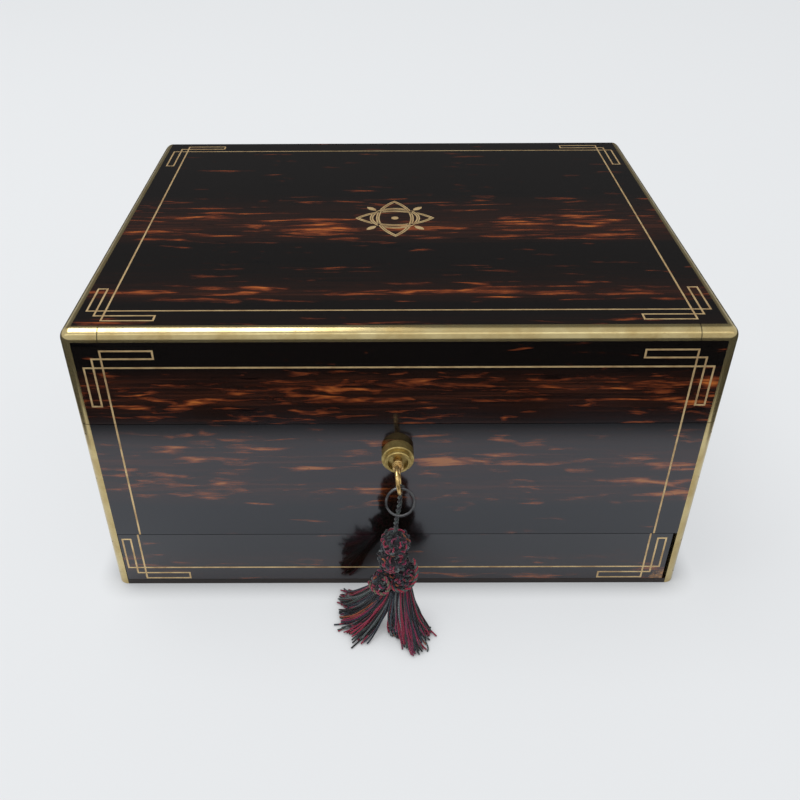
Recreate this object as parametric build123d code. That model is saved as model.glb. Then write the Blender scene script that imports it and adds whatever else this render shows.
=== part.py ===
from build123d import *
import math
import os

# Antique fitted dressing box, in millimetres.
# The origin is the middle of the underside: +X to the right, +Y to the back, +Z up.
# The lid turns on two hinges at the back, and a drawer slides out of the base.

# ---- driving sizes: the box ----
BOX_W = 305.0          # width over all
BOX_D = 246.0          # depth over all
BOX_H = 160.0          # height with the lid closed
SEAM_Z = 109.0         # height of the seam between case and lid
SEAM_GAP = 0.3         # air in that seam
WALL = 9.0             # thickness of the wall boards
VENEER = 1.0           # thickness of the saw-cut veneer
EDGE = 5.5             # face width and radius of the quarter-round edge brass
LID_TOP = 8.0          # thickness of the lid's top board
BASE_T = 3.2           # thickness of the base board
FIT = 0.3              # play between loosely fitted pieces
RUN = 0.06             # radial play of a shaft in its bore

# ---- driving sizes: drawer ----
DRAWER_H = 33.8        # height of the drawer's mouth
WELL_FLOOR = 4.0       # thickness of the floor between well and drawer
DRAWER_SIDE = 6.0      # thickness of the drawer's sides and back
DRAWER_SIDE_DROP = 3.7 # the sides stand lower than the front by this
DRAWER_FLOOR = 3.0     # thickness of the drawer's bottom
DRAWER_PLAY = 0.6      # play between the drawer's sides and the case
DRAWER_BACK_GAP = 1.0  # air behind the closed drawer
FLOOR_RISE = 0.5       # the bottom is let in this far above the drawer's underside
LINING_DROP = 2.0      # the lining ends this far below the sides' tops
SHRINK = 2.0           # the front has shrunk away from its right-hand brass
LINES_LEFT = 1.4       # and its lines lie this far left of the case's
LINING = 1.2           # thickness of velvet lining
RING_ROLL = 6.5        # least half width of a roll in the ring bed

# ---- driving sizes: inlay ----
LINE_W = 0.9           # width of the brass stringing
INLAY_T = 0.8          # depth of every inlay
COLUMNS = (9.1, 13.5, 17.8)        # upright lines, in from the side edge
FRONT_ROWS = (10.0, 14.2, 19.0)    # level lines, down from the lid's top edge
DRAWER_ROWS = (4.4, 8.4, 12.4)     # level lines, up from the underside
TOP_FRONT_ROWS = (10.0, 14.5, 19.0)  # lines on the top, in from the front edge
TOP_BACK_ROWS = (5.5, 9.9, 14.5)   # lines on the top, in from the back edge
ROW_END = 41.5         # inner end of the short level lines, in from the side edge
COLUMN_END = 40.5      # inner end of the short upright lines, in from the top edge
DRAWER_COLUMN_END = 33.4  # their upper end on the drawer, up from the underside
KNOT_LONG = 24.5       # half length of the knot's deep oval
KNOT_WIDE = 22.0       # half length of its wide oval
KNOT_BREADTH = 10.5    # half breadth of both ovals
KNOT_RING = 14.0       # outer radius of its ring
KNOT_LEAF = 3.6        # half length of the leaves between its arms
STRAP = 2.0            # width of its straps
STRAP_GAP = 0.4        # wood left beside a strap that passes over

# ---- driving sizes: edge brass ----
CORNER_LEG = 18.0      # length of the front corner's leg along the top edge
TACK_R = 0.55          # radius of the brass pins
TACK_L = 5.2           # their length, within the brass
CASE_TACKS = (0.07, 0.28, 0.68, 0.94)  # their places up the case, as shares of its height
LID_TACKS = (0.12, 0.82)               # and up the lid

# ---- driving sizes: hinges ----
HINGE_X = 82.0         # middle of each hinge from the middle of the box
HINGE_L = 45.0         # length of a hinge
HINGE_PARTS = 5        # knuckles on each
KNUCKLE_R = 2.5
KNUCKLE_GAP = 0.2      # air between knuckles
LEAF_W = 9.0           # width of a leaf on the rim
LEAF_T = 1.6
AXIS_OUT = 0.6         # the pin stands this far behind the back face
HINGE_PIN_R = 1.0

# ---- driving sizes: screws ----
SCREW_HEAD_R = 2.0
SCREW_R = 1.1
SCREW_L = 9.0
SLOT_W = 0.5
SLOT_T = 0.5
LEAF_SCREW_LINE = 0.62 # the screws' line, as a share of the leaf's width from the back

# ---- driving sizes: lock and key ----
KEY_Z = 91.4           # height of the keyhole
NOZZLE_R = 7.85        # outer barrel of the nozzle
NOZZLE_OUT = 5.85      # it stands this far out of the front
NOSE_R = 6.35          # stepped nose ring
NOSE_OUT = 8.17
NOZZLE_EDGE = 0.4      # its worn edges
NECK_R = 6.2           # the part that passes through the front
PLUG_R = 4.9
PLUG_SUNK = 2.3        # the plug's face lies this far behind the nose
LOCK_W = 52.0          # lock case
LOCK_H = 36.0
LOCK_DEEP = 8.5
LOCK_PROUD = 1.0       # the lock case stands into the well by this
PLATE_T = 1.2          # its plates
RAIL_GAP = 2.0         # from the plug to the rails under the bolt
RIM_PLATE_W = 68.0     # the plate on the rim
RIM_PLATE_DEEP = 8.0
STAPLE_X = 15.0        # middle of each staple from the middle of the box
STAPLE_T = 1.8
STAPLE_W = 5.0
STAPLE_H = 8.0
WINDOW_W = 2.6         # hole in a staple
WINDOW_H = 3.4
BOLT_T = 1.7
BOLT_THROW = 5.0       # travel of the bolt over the key's quarter turn
BOLT_PLAY = 0.25
NOSE_BAR = 2.2         # height of a bolt nose
POST_W = 3.0           # width of the post that carries it
CAM_R = 1.0            # drive pin on the plug
SHANK_R = 2.2          # key shank
RIBS = 3               # raised ribs on it
RIB_OUT = 8.57         # they begin this far out of the front
RIB_PITCH = 1.3
RIB_R = 2.55
RIB_ROOT_R = 2.1
NECK_WIDE = 1.5        # the neck between ribs and bow, at its ends
NECK_SLIM = 1.3
BOW_OUT = 20.7         # middle of the bow, out from the front face
BOW_R = 7.2            # outer radius of the bow
BOW_WIRE = 0.95        # radius of its wire
BOW_TURN = -8.0        # the bow stands this far off upright, in degrees
SLIDERS = 4            # slips in the plug
SLIDER_T = 0.6
SLIP_OUT = PLUG_R - 0.7  # their slots' outer end
SLIDER_START = 3.0     # they begin this far behind the plug's face
SLIDER_END = 7.0       # and end here, as the key does
PLUG_WALL = 1.2        # the plug's closed back
SPRING_WIRE = 0.25     # radius of its wire
SPRING_R = 2.7
SPRING_TURNS = 3

# ---- driving sizes: ring, cord and tassel ----
RING_R = 7.2           # outer radius of the split ring
RING_WIRE = 1.1        # its two turns, across
RING_DEEP = 1.5        # and along its axis
RING_LEAN = 28.0       # its foot leans out by this, in degrees
RING_ALONG = 1.1       # it hangs this far outward of the bow's lowest place
EYE_ALONG = 1.3        # the cord's eye lies this far inward of it
CORD_R = 0.65          # one strand
TWIST_R = 1.2          # the two strands together
EYE_PLAY = 0.15        # air between the bow's wire and what hangs on it
CORD_GAP = 0.7         # air between the eye and the cord's twisted length
TASSEL_Y = -144.0      # the tassel hangs in this plane
HEAD_TOP_Z = 59.0
HEAD_BORE = 14.0       # the cord runs this far into the head
LUMPS = (              # knob and knots: X, beside the tassel's plane, below its top, radius
    (-1.1, 0.0, -7.7, 7.7),
    (-2.2, 0.2, -18.5, 8.2),
    (4.0, -0.4, -29.5, 6.6),
    (-8.0, -0.4, -34.5, 6.0),
    (-0.5, 1.0, -35.0, 7.0),
)
BALL_BANDS = 9         # bands of each, from pole to pole
LEFT_SKIRT = (         # rounds of strands: X, before the plane, height, direction, half sizes
    (-5.5, -1.5, 20.0, (-0.5, 0.0, -0.86), 5.0, 4.5),
    (-13.0, -2.5, 9.5, (-0.75, -0.1, -0.6), 10.0, 4.0),
    (-21.5, -3.5, 3.4, (-0.93, -0.25, -0.25), 16.0, 2.6),
)
RIGHT_SKIRT = (
    (2.5, -2.0, 20.0, (0.1, -0.3, -0.95), 5.5, 4.5),
    (5.0, -10.0, 9.5, (0.25, -0.75, -0.6), 7.5, 4.0),
    (9.2, -21.5, 3.4, (0.6, -0.75, -0.25), 10.5, 2.6),
)

# ---- driving sizes: inside ----
DIVIDER = 2.5          # thickness of the divisions
DIVIDER_TOP = 9.0      # they end this far below the rim
TRAY_H = 38.0
TRAY_WALL = 3.0
TRAY_GAP_BACK = 10.0   # channel behind the tray, for the pin
TRAY_SPLIT = -15.0     # the tray's division, along Y
LOCK_ROOM = 1.0        # the tray stands off the front by this, for the lock
LEDGE = 4.0            # strips that carry the tray
JARS = 4               # jars on each side
JAR_R = 21.5
JAR_ROOM = 2.25        # room on both sides of a jar in its column
JAR_H = 48.0
JAR_WALL = 3.0
JAR_NECK_R = 17.5
JAR_NECK_H = 5.0
JAR_LID_H = 13.0
JAR_FOOT = 1.5         # slanted edge at the foot
JAR_FLOOR = 4.5        # thickness of the glass under the hollow
JAR_SLOPE = 2.0        # the shoulder's height
LID_PLAY = 0.2         # between a neck and its lid
LID_CROWN = 1.0        # air over the neck, inside the lid
LID_BEAD = 1.6         # height of the bead at the lid's rim
LID_STEP = 0.5         # the lid's wall stands in from the bead by this
TOOLS = 6
TOOL_R = 3.2
TOOL_L = 84.0
TOOL_SUNK = 8.0        # their middles lie this far below the tray's top
TOOL_END_ROOM = 1.5    # room in the pad at both ends
TOOL_PLAY = 0.2
HANDLE_SHARE = 0.55    # the handle's share of the length
BLADE_T = 1.2
PIN_X = 60.0           # drawer locking pin
PIN_R = 1.5
PIN_PLAY = 0.1
PIN_NOTCH = 5.0        # width of the notch in the drawer's back that it drops into
PIN_DROP = 10.0        # its travel
PIN_KNOB_R = 2.7
PIN_KNOB_H = 4.0
PIN_GUIDE = 6.0        # half width of its guide block
FINGER = 1.0           # room beside the knob
MIRROR_UP = 3.3        # the mirror lies this far up in the lid
MIRROR_T = 8.0
MIRROR_BORDER = 22.0
GLASS_T = 3.0
CATCH_T = 1.2          # turn button
CATCH_L = 9.0
CATCH_W = 4.0
CATCH_IN = 6.0         # its pivot, in from the front rail
CATCH_PIN_R = 1.2
CATCH_PIN_L = 4.5      # its pin's length in the mirror's frame
CATCH_END = 0.5        # air over the pin's end
GLASS_SUNK = 0.5       # the glass lies this far within the frame's face

# ---- places worked out from them ----
HALF_W = BOX_W / 2
HALF_D = BOX_D / 2
BOARD_X = HALF_W - VENEER
BOARD_Y = HALF_D - VENEER
INNER_X = BOARD_X - WALL
INNER_Y = BOARD_Y - WALL
EDGE_X = HALF_W - EDGE
EDGE_Y = HALF_D - EDGE
EDGE_Z = BOX_H - EDGE
RIM_Z = SEAM_Z - SEAM_GAP / 2
LID_Z = SEAM_Z + SEAM_GAP / 2
LID_BOARD_Z = BOX_H - VENEER - LID_TOP
MOUTH_Z = BASE_T + DRAWER_H
WELL_Z = MOUTH_Z + WELL_FLOOR
AXIS_Y = HALF_D + AXIS_OUT
FRONT = Plane(origin=(0, -HALF_D, 0), x_dir=(1, 0, 0), z_dir=(0, -1, 0))
TOP = Plane(origin=(0, 0, BOX_H), x_dir=(1, 0, 0), z_dir=(0, 0, 1))
TRAY_HALF_W = INNER_X - LINING - 2 * (JAR_R + JAR_ROOM) - DIVIDER - FIT
EVER = 2 * max(BOX_W, BOX_D, BOX_H)  # longer than the whole box


# ---- helpers ----
def block(x, y, z):
    """A block between pairs of coordinates."""
    size = Box(x[1] - x[0], y[1] - y[0], z[1] - z[0])
    return Pos(sum(x) / 2, sum(y) / 2, sum(z) / 2) * size


def rod(radius, start, end):
    """A round bar between two points."""
    run = Vector(*end) - Vector(*start)
    bar = Cylinder(radius, run.length, align=(Align.CENTER, Align.CENTER, Align.MIN))
    return Plane(origin=start, z_dir=run) * bar


def flipped(shape):
    """The same shape on the other side of the box."""
    return shape.mirror(Plane.YZ)


def turned(profile, place=Pos(0, 0, 0)):
    """A shape turned about its own upright axis from (radius, height) points."""
    face = make_face(Plane.XZ * Polyline(*profile, close=True))
    return place * revolve(face, Axis.Z)


def front_turned(profile, x, z):
    """A shape turned about a level axis through the front: (radius, distance out of the face)."""
    place = Plane(origin=(x, -HALF_D, z), x_dir=(1, 0, 0), z_dir=(0, -1, 0))
    face = make_face(Plane.XZ * Polyline(*profile, close=True))
    return place * revolve(face, Axis.Z)


def save(name, *shapes):
    """One STEP file for the node, holding each of its solids."""
    solids = [s for shape in shapes for s in shape.solids()]
    whole = solids[0] if len(solids) == 1 else Compound(children=solids)
    whole.label = name
    export_step(whole, f"parts/{name}.step")


# ---- edge brass ----
def corner_cuts():
    """The four upright corners that the brass fills."""
    cut = block((EDGE_X, HALF_W), (EDGE_Y, HALF_D), (0, BOX_H))
    right = cut + cut.mirror(Plane.XZ)
    return right + flipped(right)


def top_edge_cuts():
    """The grooves along the lid's front and side top edges."""
    front = block((-HALF_W, HALF_W), (-HALF_D, -EDGE_Y), (EDGE_Z, BOX_H))
    side = block((EDGE_X, HALF_W), (-HALF_D, HALF_D), (EDGE_Z, BOX_H))
    return front + side + flipped(side)


def upright_round(back, low, high):
    """A quarter-round upright at the right-hand corner."""
    middle = (EDGE_X, EDGE_Y if back else -EDGE_Y)
    bar = Pos(*middle, (low + high) / 2) * Cylinder(EDGE, high - low)
    side = (EDGE_Y, HALF_D) if back else (-HALF_D, -EDGE_Y)
    return bar & block((EDGE_X, HALF_W), side, (low, high))


def level_round(start, end):
    """A quarter-round along the lid's right-hand top edge."""
    bar = rod(EDGE, (EDGE_X, start, EDGE_Z), (EDGE_X, end, EDGE_Z))
    return bar & block((EDGE_X, HALF_W), (start, end), (EDGE_Z, BOX_H))


def front_round(start, end):
    """A quarter-round along the lid's front top edge."""
    bar = rod(EDGE, (start, -EDGE_Y, EDGE_Z), (end, -EDGE_Y, EDGE_Z))
    return bar & block((start, end), (-HALF_D, -EDGE_Y), (EDGE_Z, BOX_H))


def tack(back, height):
    """One brass pin, driven through the corner brass on its slant."""
    away = Vector(1, 1 if back else -1, 0).normalized()
    heart = Vector(EDGE_X, EDGE_Y if back else -EDGE_Y, height)
    return rod(TACK_R, tuple(heart + away * (EDGE - TACK_L)), tuple(heart + away * EDGE))


def tacks(low, high, shares):
    """All pins of the case or of the lid."""
    right = [tack(back, low + share * (high - low)) for back in (False, True) for share in shares]
    return right + [flipped(t) for t in right]


def case_corner_brasses(pins):
    """Four uprights from the underside to the seam."""
    right = [upright_round(back, 0, RIM_Z) for back in (False, True)]
    return [corner - pins for corner in right + [flipped(r) for r in right]]


def lid_corner_brasses(pins):
    """Front corners with a ball top and a leg along the edge, and mitred back corners."""
    leg_end = HALF_W - CORNER_LEG
    ball = Pos(EDGE_X, -EDGE_Y, EDGE_Z) * Sphere(EDGE)
    ball = ball & block((EDGE_X, HALF_W), (-HALF_D, -EDGE_Y), (EDGE_Z, BOX_H))
    front = ball + upright_round(False, LID_Z, EDGE_Z) + front_round(leg_end, EDGE_X)
    mitre = upright_round(True, LID_Z, BOX_H) - block((0, EVER), (0, EVER), (EDGE_Z, EVER))
    cap = upright_round(True, EDGE_Z, BOX_H) & rod(EDGE, (EDGE_X, 0, EDGE_Z), (EDGE_X, EVER, EDGE_Z))
    right = [front - pins, mitre + cap - pins]
    return right + [flipped(r) for r in right]


def lid_edge_brasses():
    """The front rail of brass and the two side rails."""
    leg_end = HALF_W - CORNER_LEG
    side = level_round(-EDGE_Y, EDGE_Y)
    return [front_round(-leg_end, leg_end), side, flipped(side)]


# ---- stringing ----
def strip(start, end):
    """A straight run of line, square at its ends."""
    wide = abs(end[0] - start[0]) + LINE_W
    high = abs(end[1] - start[1]) + LINE_W
    return Pos((start[0] + end[0]) / 2, (start[1] + end[1]) / 2) * Rectangle(wide, high)


def corner_line(edge, inward, rows, column_end, far):
    """The interlaced line of a right-hand corner, from the far end of its upright to mid panel."""
    outer, middle, inner = (HALF_W - c for c in COLUMNS)
    row_1, row_2, row_3 = (edge + inward * r for r in rows)
    row_end = HALF_W - ROW_END
    turn = edge + inward * column_end
    route = [(inner, far), (inner, row_1), (row_end, row_1), (row_end, row_2), (middle, row_2)]
    route += [(middle, turn), (outer, turn), (outer, row_3), (0, row_3)]
    line = Sketch()
    for start, end in zip(route, route[1:]):
        line += strip(start, end)
    return line


def both_sides(line):
    """A line and its mirror image."""
    return line + mirror(line, about=Plane.YZ)


def lid_stringing():
    """The frame on the lid's top, and the upper part of the frame on the front."""
    back = corner_line(HALF_D, -1, TOP_BACK_ROWS, COLUMN_END, 0)
    front = corner_line(-HALF_D, 1, TOP_FRONT_ROWS, COLUMN_END, 0)
    face = corner_line(BOX_H, -1, FRONT_ROWS, COLUMN_END, LID_Z + LINE_W / 2)
    top = extrude(TOP * both_sides(back + front), -INLAY_T)
    return [top, extrude(FRONT * both_sides(face), -INLAY_T)]


def case_stringing():
    """The two uprights of the frame between seam and drawer."""
    inner = HALF_W - COLUMNS[2]
    line = strip((inner, MOUTH_Z + LINE_W / 2), (inner, RIM_Z - LINE_W / 2))
    upright = extrude(FRONT * line, -INLAY_T)
    return [upright, flipped(upright)]


def drawer_stringing(top):
    """The lower corners of the frame, on the drawer front, which sits to the left."""
    line = corner_line(0, 1, DRAWER_ROWS, DRAWER_COLUMN_END, top - LINE_W / 2)
    whole = Pos(-LINES_LEFT, 0) * both_sides(line)
    return extrude(FRONT * whole, -INLAY_T)


# ---- the inlaid knot on the lid ----
def leaf_circle(length, breadth):
    """The circle of a pointed oval's side: its radius, and how far its middle lies off the oval's."""
    radius = (length ** 2 + breadth ** 2) / (2 * breadth)
    return radius, radius - breadth


def pointed_oval(length, breadth, shrink=0.0):
    """A pointed oval along X, from two arcs; shrink moves its outline inwards."""
    radius, off = leaf_circle(length, breadth)
    return Pos(0, -off) * Circle(radius - shrink) & Pos(0, off) * Circle(radius - shrink)


def crossing(first, second):
    """Where two circles, each (x, y, radius), meet in the first quarter."""
    (ax, ay, ar), (bx, by, br) = first, second
    apart = math.hypot(bx - ax, by - ay)
    along = (ar ** 2 - br ** 2 + apart ** 2) / (2 * apart)
    aside = math.sqrt(ar ** 2 - along ** 2)
    ux, uy = (bx - ax) / apart, (by - ay) / apart
    ends = [(ax + along * ux - s * aside * uy, ay + along * uy + s * aside * ux) for s in (1, -1)]
    return max(ends, key=lambda p: min(p))


def knot_straps(grow):
    """The three straps, each widened by grow on both sides: wide oval, deep oval and ring."""
    wide, deep = (
        pointed_oval(length, KNOT_BREADTH, -grow) - pointed_oval(length, KNOT_BREADTH, STRAP + grow)
        for length in (KNOT_WIDE, KNOT_LONG)
    )
    ring = Circle(KNOT_RING + grow) - Circle(KNOT_RING - STRAP - grow)
    return [wide, Rot(0, 0, 90) * deep, ring]


def knot_middles():
    """The straps' middle lines in the first quarter, each as a circle."""
    wide_r, wide_off = leaf_circle(KNOT_WIDE, KNOT_BREADTH)
    deep_r, deep_off = leaf_circle(KNOT_LONG, KNOT_BREADTH)
    half = STRAP / 2
    return [(0, -wide_off, wide_r - half), (-deep_off, 0, deep_r - half), (0, 0.0001, KNOT_RING - half)]


def knot_sketch():
    """Two crossed pointed ovals and a ring, each passing over and under the others in turn."""
    straps, grown, middles = knot_straps(0), knot_straps(STRAP_GAP), knot_middles()
    for first, second, first_over in ((0, 1, True), (2, 0, True), (1, 2, True)):
        x, y = crossing(middles[first], middles[second])
        for sign_x, sign_y in ((1, 1), (-1, 1), (-1, -1), (1, -1)):
            over = first_over == (sign_x * sign_y > 0)
            upper, lower = (first, second) if over else (second, first)
            near = Pos(sign_x * x, sign_y * y) * Circle(1.5 * STRAP)
            straps[lower] -= grown[upper] & near
    leaf = pointed_oval(KNOT_LEAF, KNOT_LEAF * 0.45)
    reach = KNOT_RING + KNOT_LEAF + 2 * STRAP_GAP
    leaves = [Rot(0, 0, angle) * Pos(reach, 0) * leaf for angle in (45, 135, 225, 315)]
    return straps[0] + straps[1] + straps[2] + leaves + Circle(STRAP)


def lid_medallion():
    """The knot as thin brass plate, flush with the veneer."""
    return extrude(TOP * knot_sketch(), -INLAY_T)


# ---- hinges ----
def knuckle_span(number):
    """The ends of one knuckle along X, on the right-hand hinge."""
    length = HINGE_L / HINGE_PARTS
    start = HINGE_X - HINGE_L / 2 + number * length
    return start + KNUCKLE_GAP / 2, start + length - KNUCKLE_GAP / 2


def on_axis(radius, span):
    """A bar on the hinge's axis."""
    return rod(radius, (span[0], AXIS_Y, SEAM_Z), (span[1], AXIS_Y, SEAM_Z))


def hinge_leaf(own, low, high):
    """One leaf with its knuckles; own gives their numbers, low and high the plate's faces."""
    ends = (HINGE_X - HINGE_L / 2, HINGE_X + HINGE_L / 2)
    leaf = block(ends, (HALF_D - LEAF_W, AXIS_Y), (low, high))
    for number in range(HINGE_PARTS):
        span = knuckle_span(number)
        if number in own:
            leaf += on_axis(KNUCKLE_R, span)
        else:
            wide = (span[0] - KNUCKLE_GAP, span[1] + KNUCKLE_GAP)
            leaf -= on_axis(KNUCKLE_R + KNUCKLE_GAP, wide)
    return leaf - on_axis(HINGE_PIN_R + RUN, ends)


def knuckle_room():
    """The scoops in case and lid that the knuckles turn in."""
    ends = (HINGE_X - HINGE_L / 2 - FIT, HINGE_X + HINGE_L / 2 + FIT)
    room = on_axis(KNUCKLE_R + 2 * KNUCKLE_GAP, ends)
    return room + flipped(room)


def leaf_room(low, high):
    """The recesses that the leaves lie in."""
    ends = (HINGE_X - HINGE_L / 2, HINGE_X + HINGE_L / 2)
    room = block(ends, (HALF_D - LEAF_W, EVER), (low, high))
    return room + flipped(room)


# ---- screws ----
def screw(x, y, z, down=True):
    """A countersunk brass screw with its head flush at z."""
    way = -1 if down else 1
    profile = [(0, 0), (SCREW_HEAD_R, 0), (SCREW_R, way * (SCREW_HEAD_R - SCREW_R))]
    profile += [(SCREW_R, way * (SCREW_L - SCREW_R)), (0, way * SCREW_L)]
    slot = block((-SCREW_HEAD_R, SCREW_HEAD_R), (-SLOT_W / 2, SLOT_W / 2), (-SLOT_T, SLOT_T))
    return Pos(x, y, z) * (turned(profile) - slot), Pos(x, y, z) * turned(profile)


def screw_places():
    """Where the screws stand: three in each leaf, and two in each lock plate."""
    leaf_y = HALF_D - LEAF_W * LEAF_SCREW_LINE
    step = HINGE_L / 3
    hinge = [(side * (HINGE_X + n * step), leaf_y) for side in (1, -1) for n in (-1, 0, 1)]
    plate_x = RIM_PLATE_W / 2 - 2 * SCREW_HEAD_R
    return hinge + [(plate_x, lock_middle()), (-plate_x, lock_middle())]


def screws(z, down):
    """The screws themselves, and the room they need in what they pass through."""
    pairs = [screw(x, y, z, down) for x, y in screw_places()]
    return [p[0] for p in pairs], [p[1] for p in pairs]


# ---- lock ----
def lock_middle():
    """The lock case's middle along Y."""
    return -INNER_Y + LOCK_PROUD - LOCK_DEEP / 2


def lock_span():
    """The lock case's faces along Y."""
    return lock_middle() - LOCK_DEEP / 2, lock_middle() + LOCK_DEEP / 2


def lock_room():
    """The mortise for the lock case and the recess for its rim plate."""
    front, back = lock_span()
    half = LOCK_W / 2
    mortise = block((-half, half), (front, back), (RIM_Z - LOCK_H, RIM_Z))
    return mortise + rim_plate(RIM_Z - PLATE_T, RIM_Z)


def rim_plate(low, high):
    """The plate on the rim."""
    half_x, half_y = RIM_PLATE_W / 2, RIM_PLATE_DEEP / 2
    middle = lock_middle()
    return block((-half_x, half_x), (middle - half_y, middle + half_y), (low, high))


def staple_slots(grow):
    """The two staples' outlines, grown on every side."""
    half_t, half_w = STAPLE_T / 2 + grow, STAPLE_W / 2 + grow
    y = (lock_middle() - half_w, lock_middle() + half_w)
    z = (RIM_Z - STAPLE_H, RIM_Z + SEAM_GAP)
    one = block((STAPLE_X - half_t, STAPLE_X + half_t), y, z)
    return one + flipped(one)


def bolt_span():
    """The bolt plate's faces along Y."""
    return lock_middle() - BOLT_T / 2, lock_middle() + BOLT_T / 2


def bolt_low():
    """The bolt's lower edge, just under its drive slot."""
    return KEY_Z + BOLT_THROW / 2 - CAM_R - 2 * BOLT_PLAY


def cam_reach():
    """The drive pin's radius: a quarter turn moves it sideways by the bolt's throw."""
    return BOLT_THROW / math.sqrt(2)


def lock_case():
    """A brass box let into the front, with the rim plate as its top, and rails under the bolt."""
    front, back = lock_span()
    half = LOCK_W / 2
    low = RIM_Z - LOCK_H
    shell = block((-half, half), (front, back), (low, RIM_Z - PLATE_T))
    inner = (half - PLATE_T, front + PLATE_T, back - PLATE_T)
    room_z = (low + PLATE_T, RIM_Z - 2 * PLATE_T)
    shell -= block((-inner[0], inner[0]), inner[1:], room_z)
    rail = block((PLUG_R + RAIL_GAP, inner[0]), inner[1:], (bolt_low() - FIT - PLATE_T, bolt_low() - FIT))
    shell += rail + flipped(rail) + rim_plate(RIM_Z - PLATE_T, RIM_Z)
    shell -= staple_slots(2 * FIT)
    return shell - rod(PLUG_R + RUN, (0, -HALF_D, KEY_Z), (0, inner[1] + PLATE_T, KEY_Z))


def lock_bolt():
    """A sliding plate with two noses that pass through the staples."""
    y = bolt_span()
    plate_top = RIM_Z - STAPLE_H - FIT
    nose_low = RIM_Z - STAPLE_H + (STAPLE_H - NOSE_BAR) / 2
    right_tip = STAPLE_X - STAPLE_T / 2 - FIT
    left_tip = right_tip - 2 * STAPLE_X
    post = (BOLT_THROW + FIT + POST_W, BOLT_THROW + FIT)
    bolt = block((left_tip - post[0], right_tip), y, (bolt_low(), plate_top))
    for tip in (right_tip, left_tip):
        bolt += block((tip - post[0], tip - post[1]), y, (bolt_low(), nose_low + NOSE_BAR))
        bolt += block((tip - post[0], tip), y, (nose_low, nose_low + NOSE_BAR))
    slot_x = -BOLT_THROW / 2
    half = CAM_R + BOLT_PLAY
    slot_z = (bolt_low() - FIT, KEY_Z + cam_reach() + CAM_R + BOLT_PLAY)
    return bolt - block((slot_x - half, slot_x + half), y, slot_z)


def striker_plate(room):
    """The lid's plate with its two staples."""
    plate = rim_plate(LID_Z, LID_Z + PLATE_T) + staple_slots(0)
    window_z = RIM_Z - STAPLE_H + (STAPLE_H - WINDOW_H) / 2
    y = (lock_middle() - WINDOW_W / 2, lock_middle() + WINDOW_W / 2)
    plate -= block((-EVER, EVER), y, (window_z, window_z + WINDOW_H))
    for taken in room:
        plate -= taken
    return plate


def lock_nozzle():
    """The stepped boss around the keyhole, with its edges worn off."""
    back = HALF_D + lock_span()[0]
    bore = PLUG_R + RUN
    profile = [(bore, -back), (NECK_R, -back), (NECK_R, 0), (NOZZLE_R, 0)]
    profile += [(NOZZLE_R, NOZZLE_OUT - NOZZLE_EDGE), (NOZZLE_R - NOZZLE_EDGE, NOZZLE_OUT)]
    profile += [(NOSE_R, NOZZLE_OUT), (NOSE_R, NOSE_OUT - NOZZLE_EDGE), (NOSE_R - NOZZLE_EDGE, NOSE_OUT)]
    profile += [(bore, NOSE_OUT)]
    return front_turned(profile, 0, KEY_Z)


def plug_face():
    """How far the plug's face stands out of the front."""
    return NOSE_OUT - PLUG_SUNK


def slider_ring(radius_low, radius_high, thick, start, end):
    """Thin plates set round the key, from start to end behind the plug's face."""
    face = -HALF_D - plug_face()
    one = block((radius_low, radius_high), (face + start, face + end), (-thick / 2, thick / 2))
    place = [Pos(0, 0, KEY_Z) * Rot(0, 45 + n * 360 / SLIDERS, 0) for n in range(SLIDERS)]
    return [p * one for p in place]


def lock_sliders():
    """The slips that the key pushes in."""
    return slider_ring(SHANK_R + 4 * RUN, SLIP_OUT - RUN, SLIDER_T, SLIDER_START, SLIDER_END)


def spring_span():
    """The ends of the spring's room along Y."""
    return -HALF_D - plug_face() + SLIDER_END, bolt_span()[0] - FIT - PLUG_WALL


def lock_plug():
    """The turning barrel, with a keyway, slots for its slips, and a drive pin at its back."""
    face = -HALF_D - plug_face()
    back = bolt_span()[0] - FIT
    plug = rod(PLUG_R, (0, face, KEY_Z), (0, back, KEY_Z))
    plug -= rod(SHANK_R + RUN, (0, face, KEY_Z), (0, back - PLUG_WALL, KEY_Z))
    start, end = spring_span()
    plug -= rod(SPRING_R + 2 * RUN, (0, start, KEY_Z), (0, end, KEY_Z))
    for slot in slider_ring(SHANK_R, SLIP_OUT, SLIDER_T + 2 * RUN, SLIDER_START - RUN, SLIDER_END):
        plug -= slot
    side = cam_reach() / math.sqrt(2)
    pin_end = bolt_span()[1] + FIT
    return plug + rod(CAM_R, (-side, back, KEY_Z + side), (-side, pin_end, KEY_Z + side))


def lock_spring():
    """The spring behind the slips."""
    start, end = spring_span()
    clear = SPRING_WIRE + 2 * RUN
    length = end - start - 2 * clear
    coil = Helix(pitch=length / SPRING_TURNS, height=length, radius=SPRING_R - SPRING_WIRE)
    wire = sweep(Plane(coil @ 0, z_dir=coil % 0) * Circle(SPRING_WIRE), path=coil, is_frenet=True)
    return Plane(origin=(0, start + clear, KEY_Z), z_dir=(0, 1, 0)) * wire


def bow_place():
    """The bow's middle, turned with the key; its own X axis lies across the bow."""
    return Pos(0, -HALF_D - BOW_OUT, KEY_Z) * Rot(0, BOW_TURN, 0)


def bow_wire(along):
    """The middle of the bow's wire near its lowest place, along its length from there."""
    ring = BOW_R - BOW_WIRE
    angle = along / ring
    place = bow_place() * Pos(0, ring * math.sin(angle), -ring * math.cos(angle))
    return place.position


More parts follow.
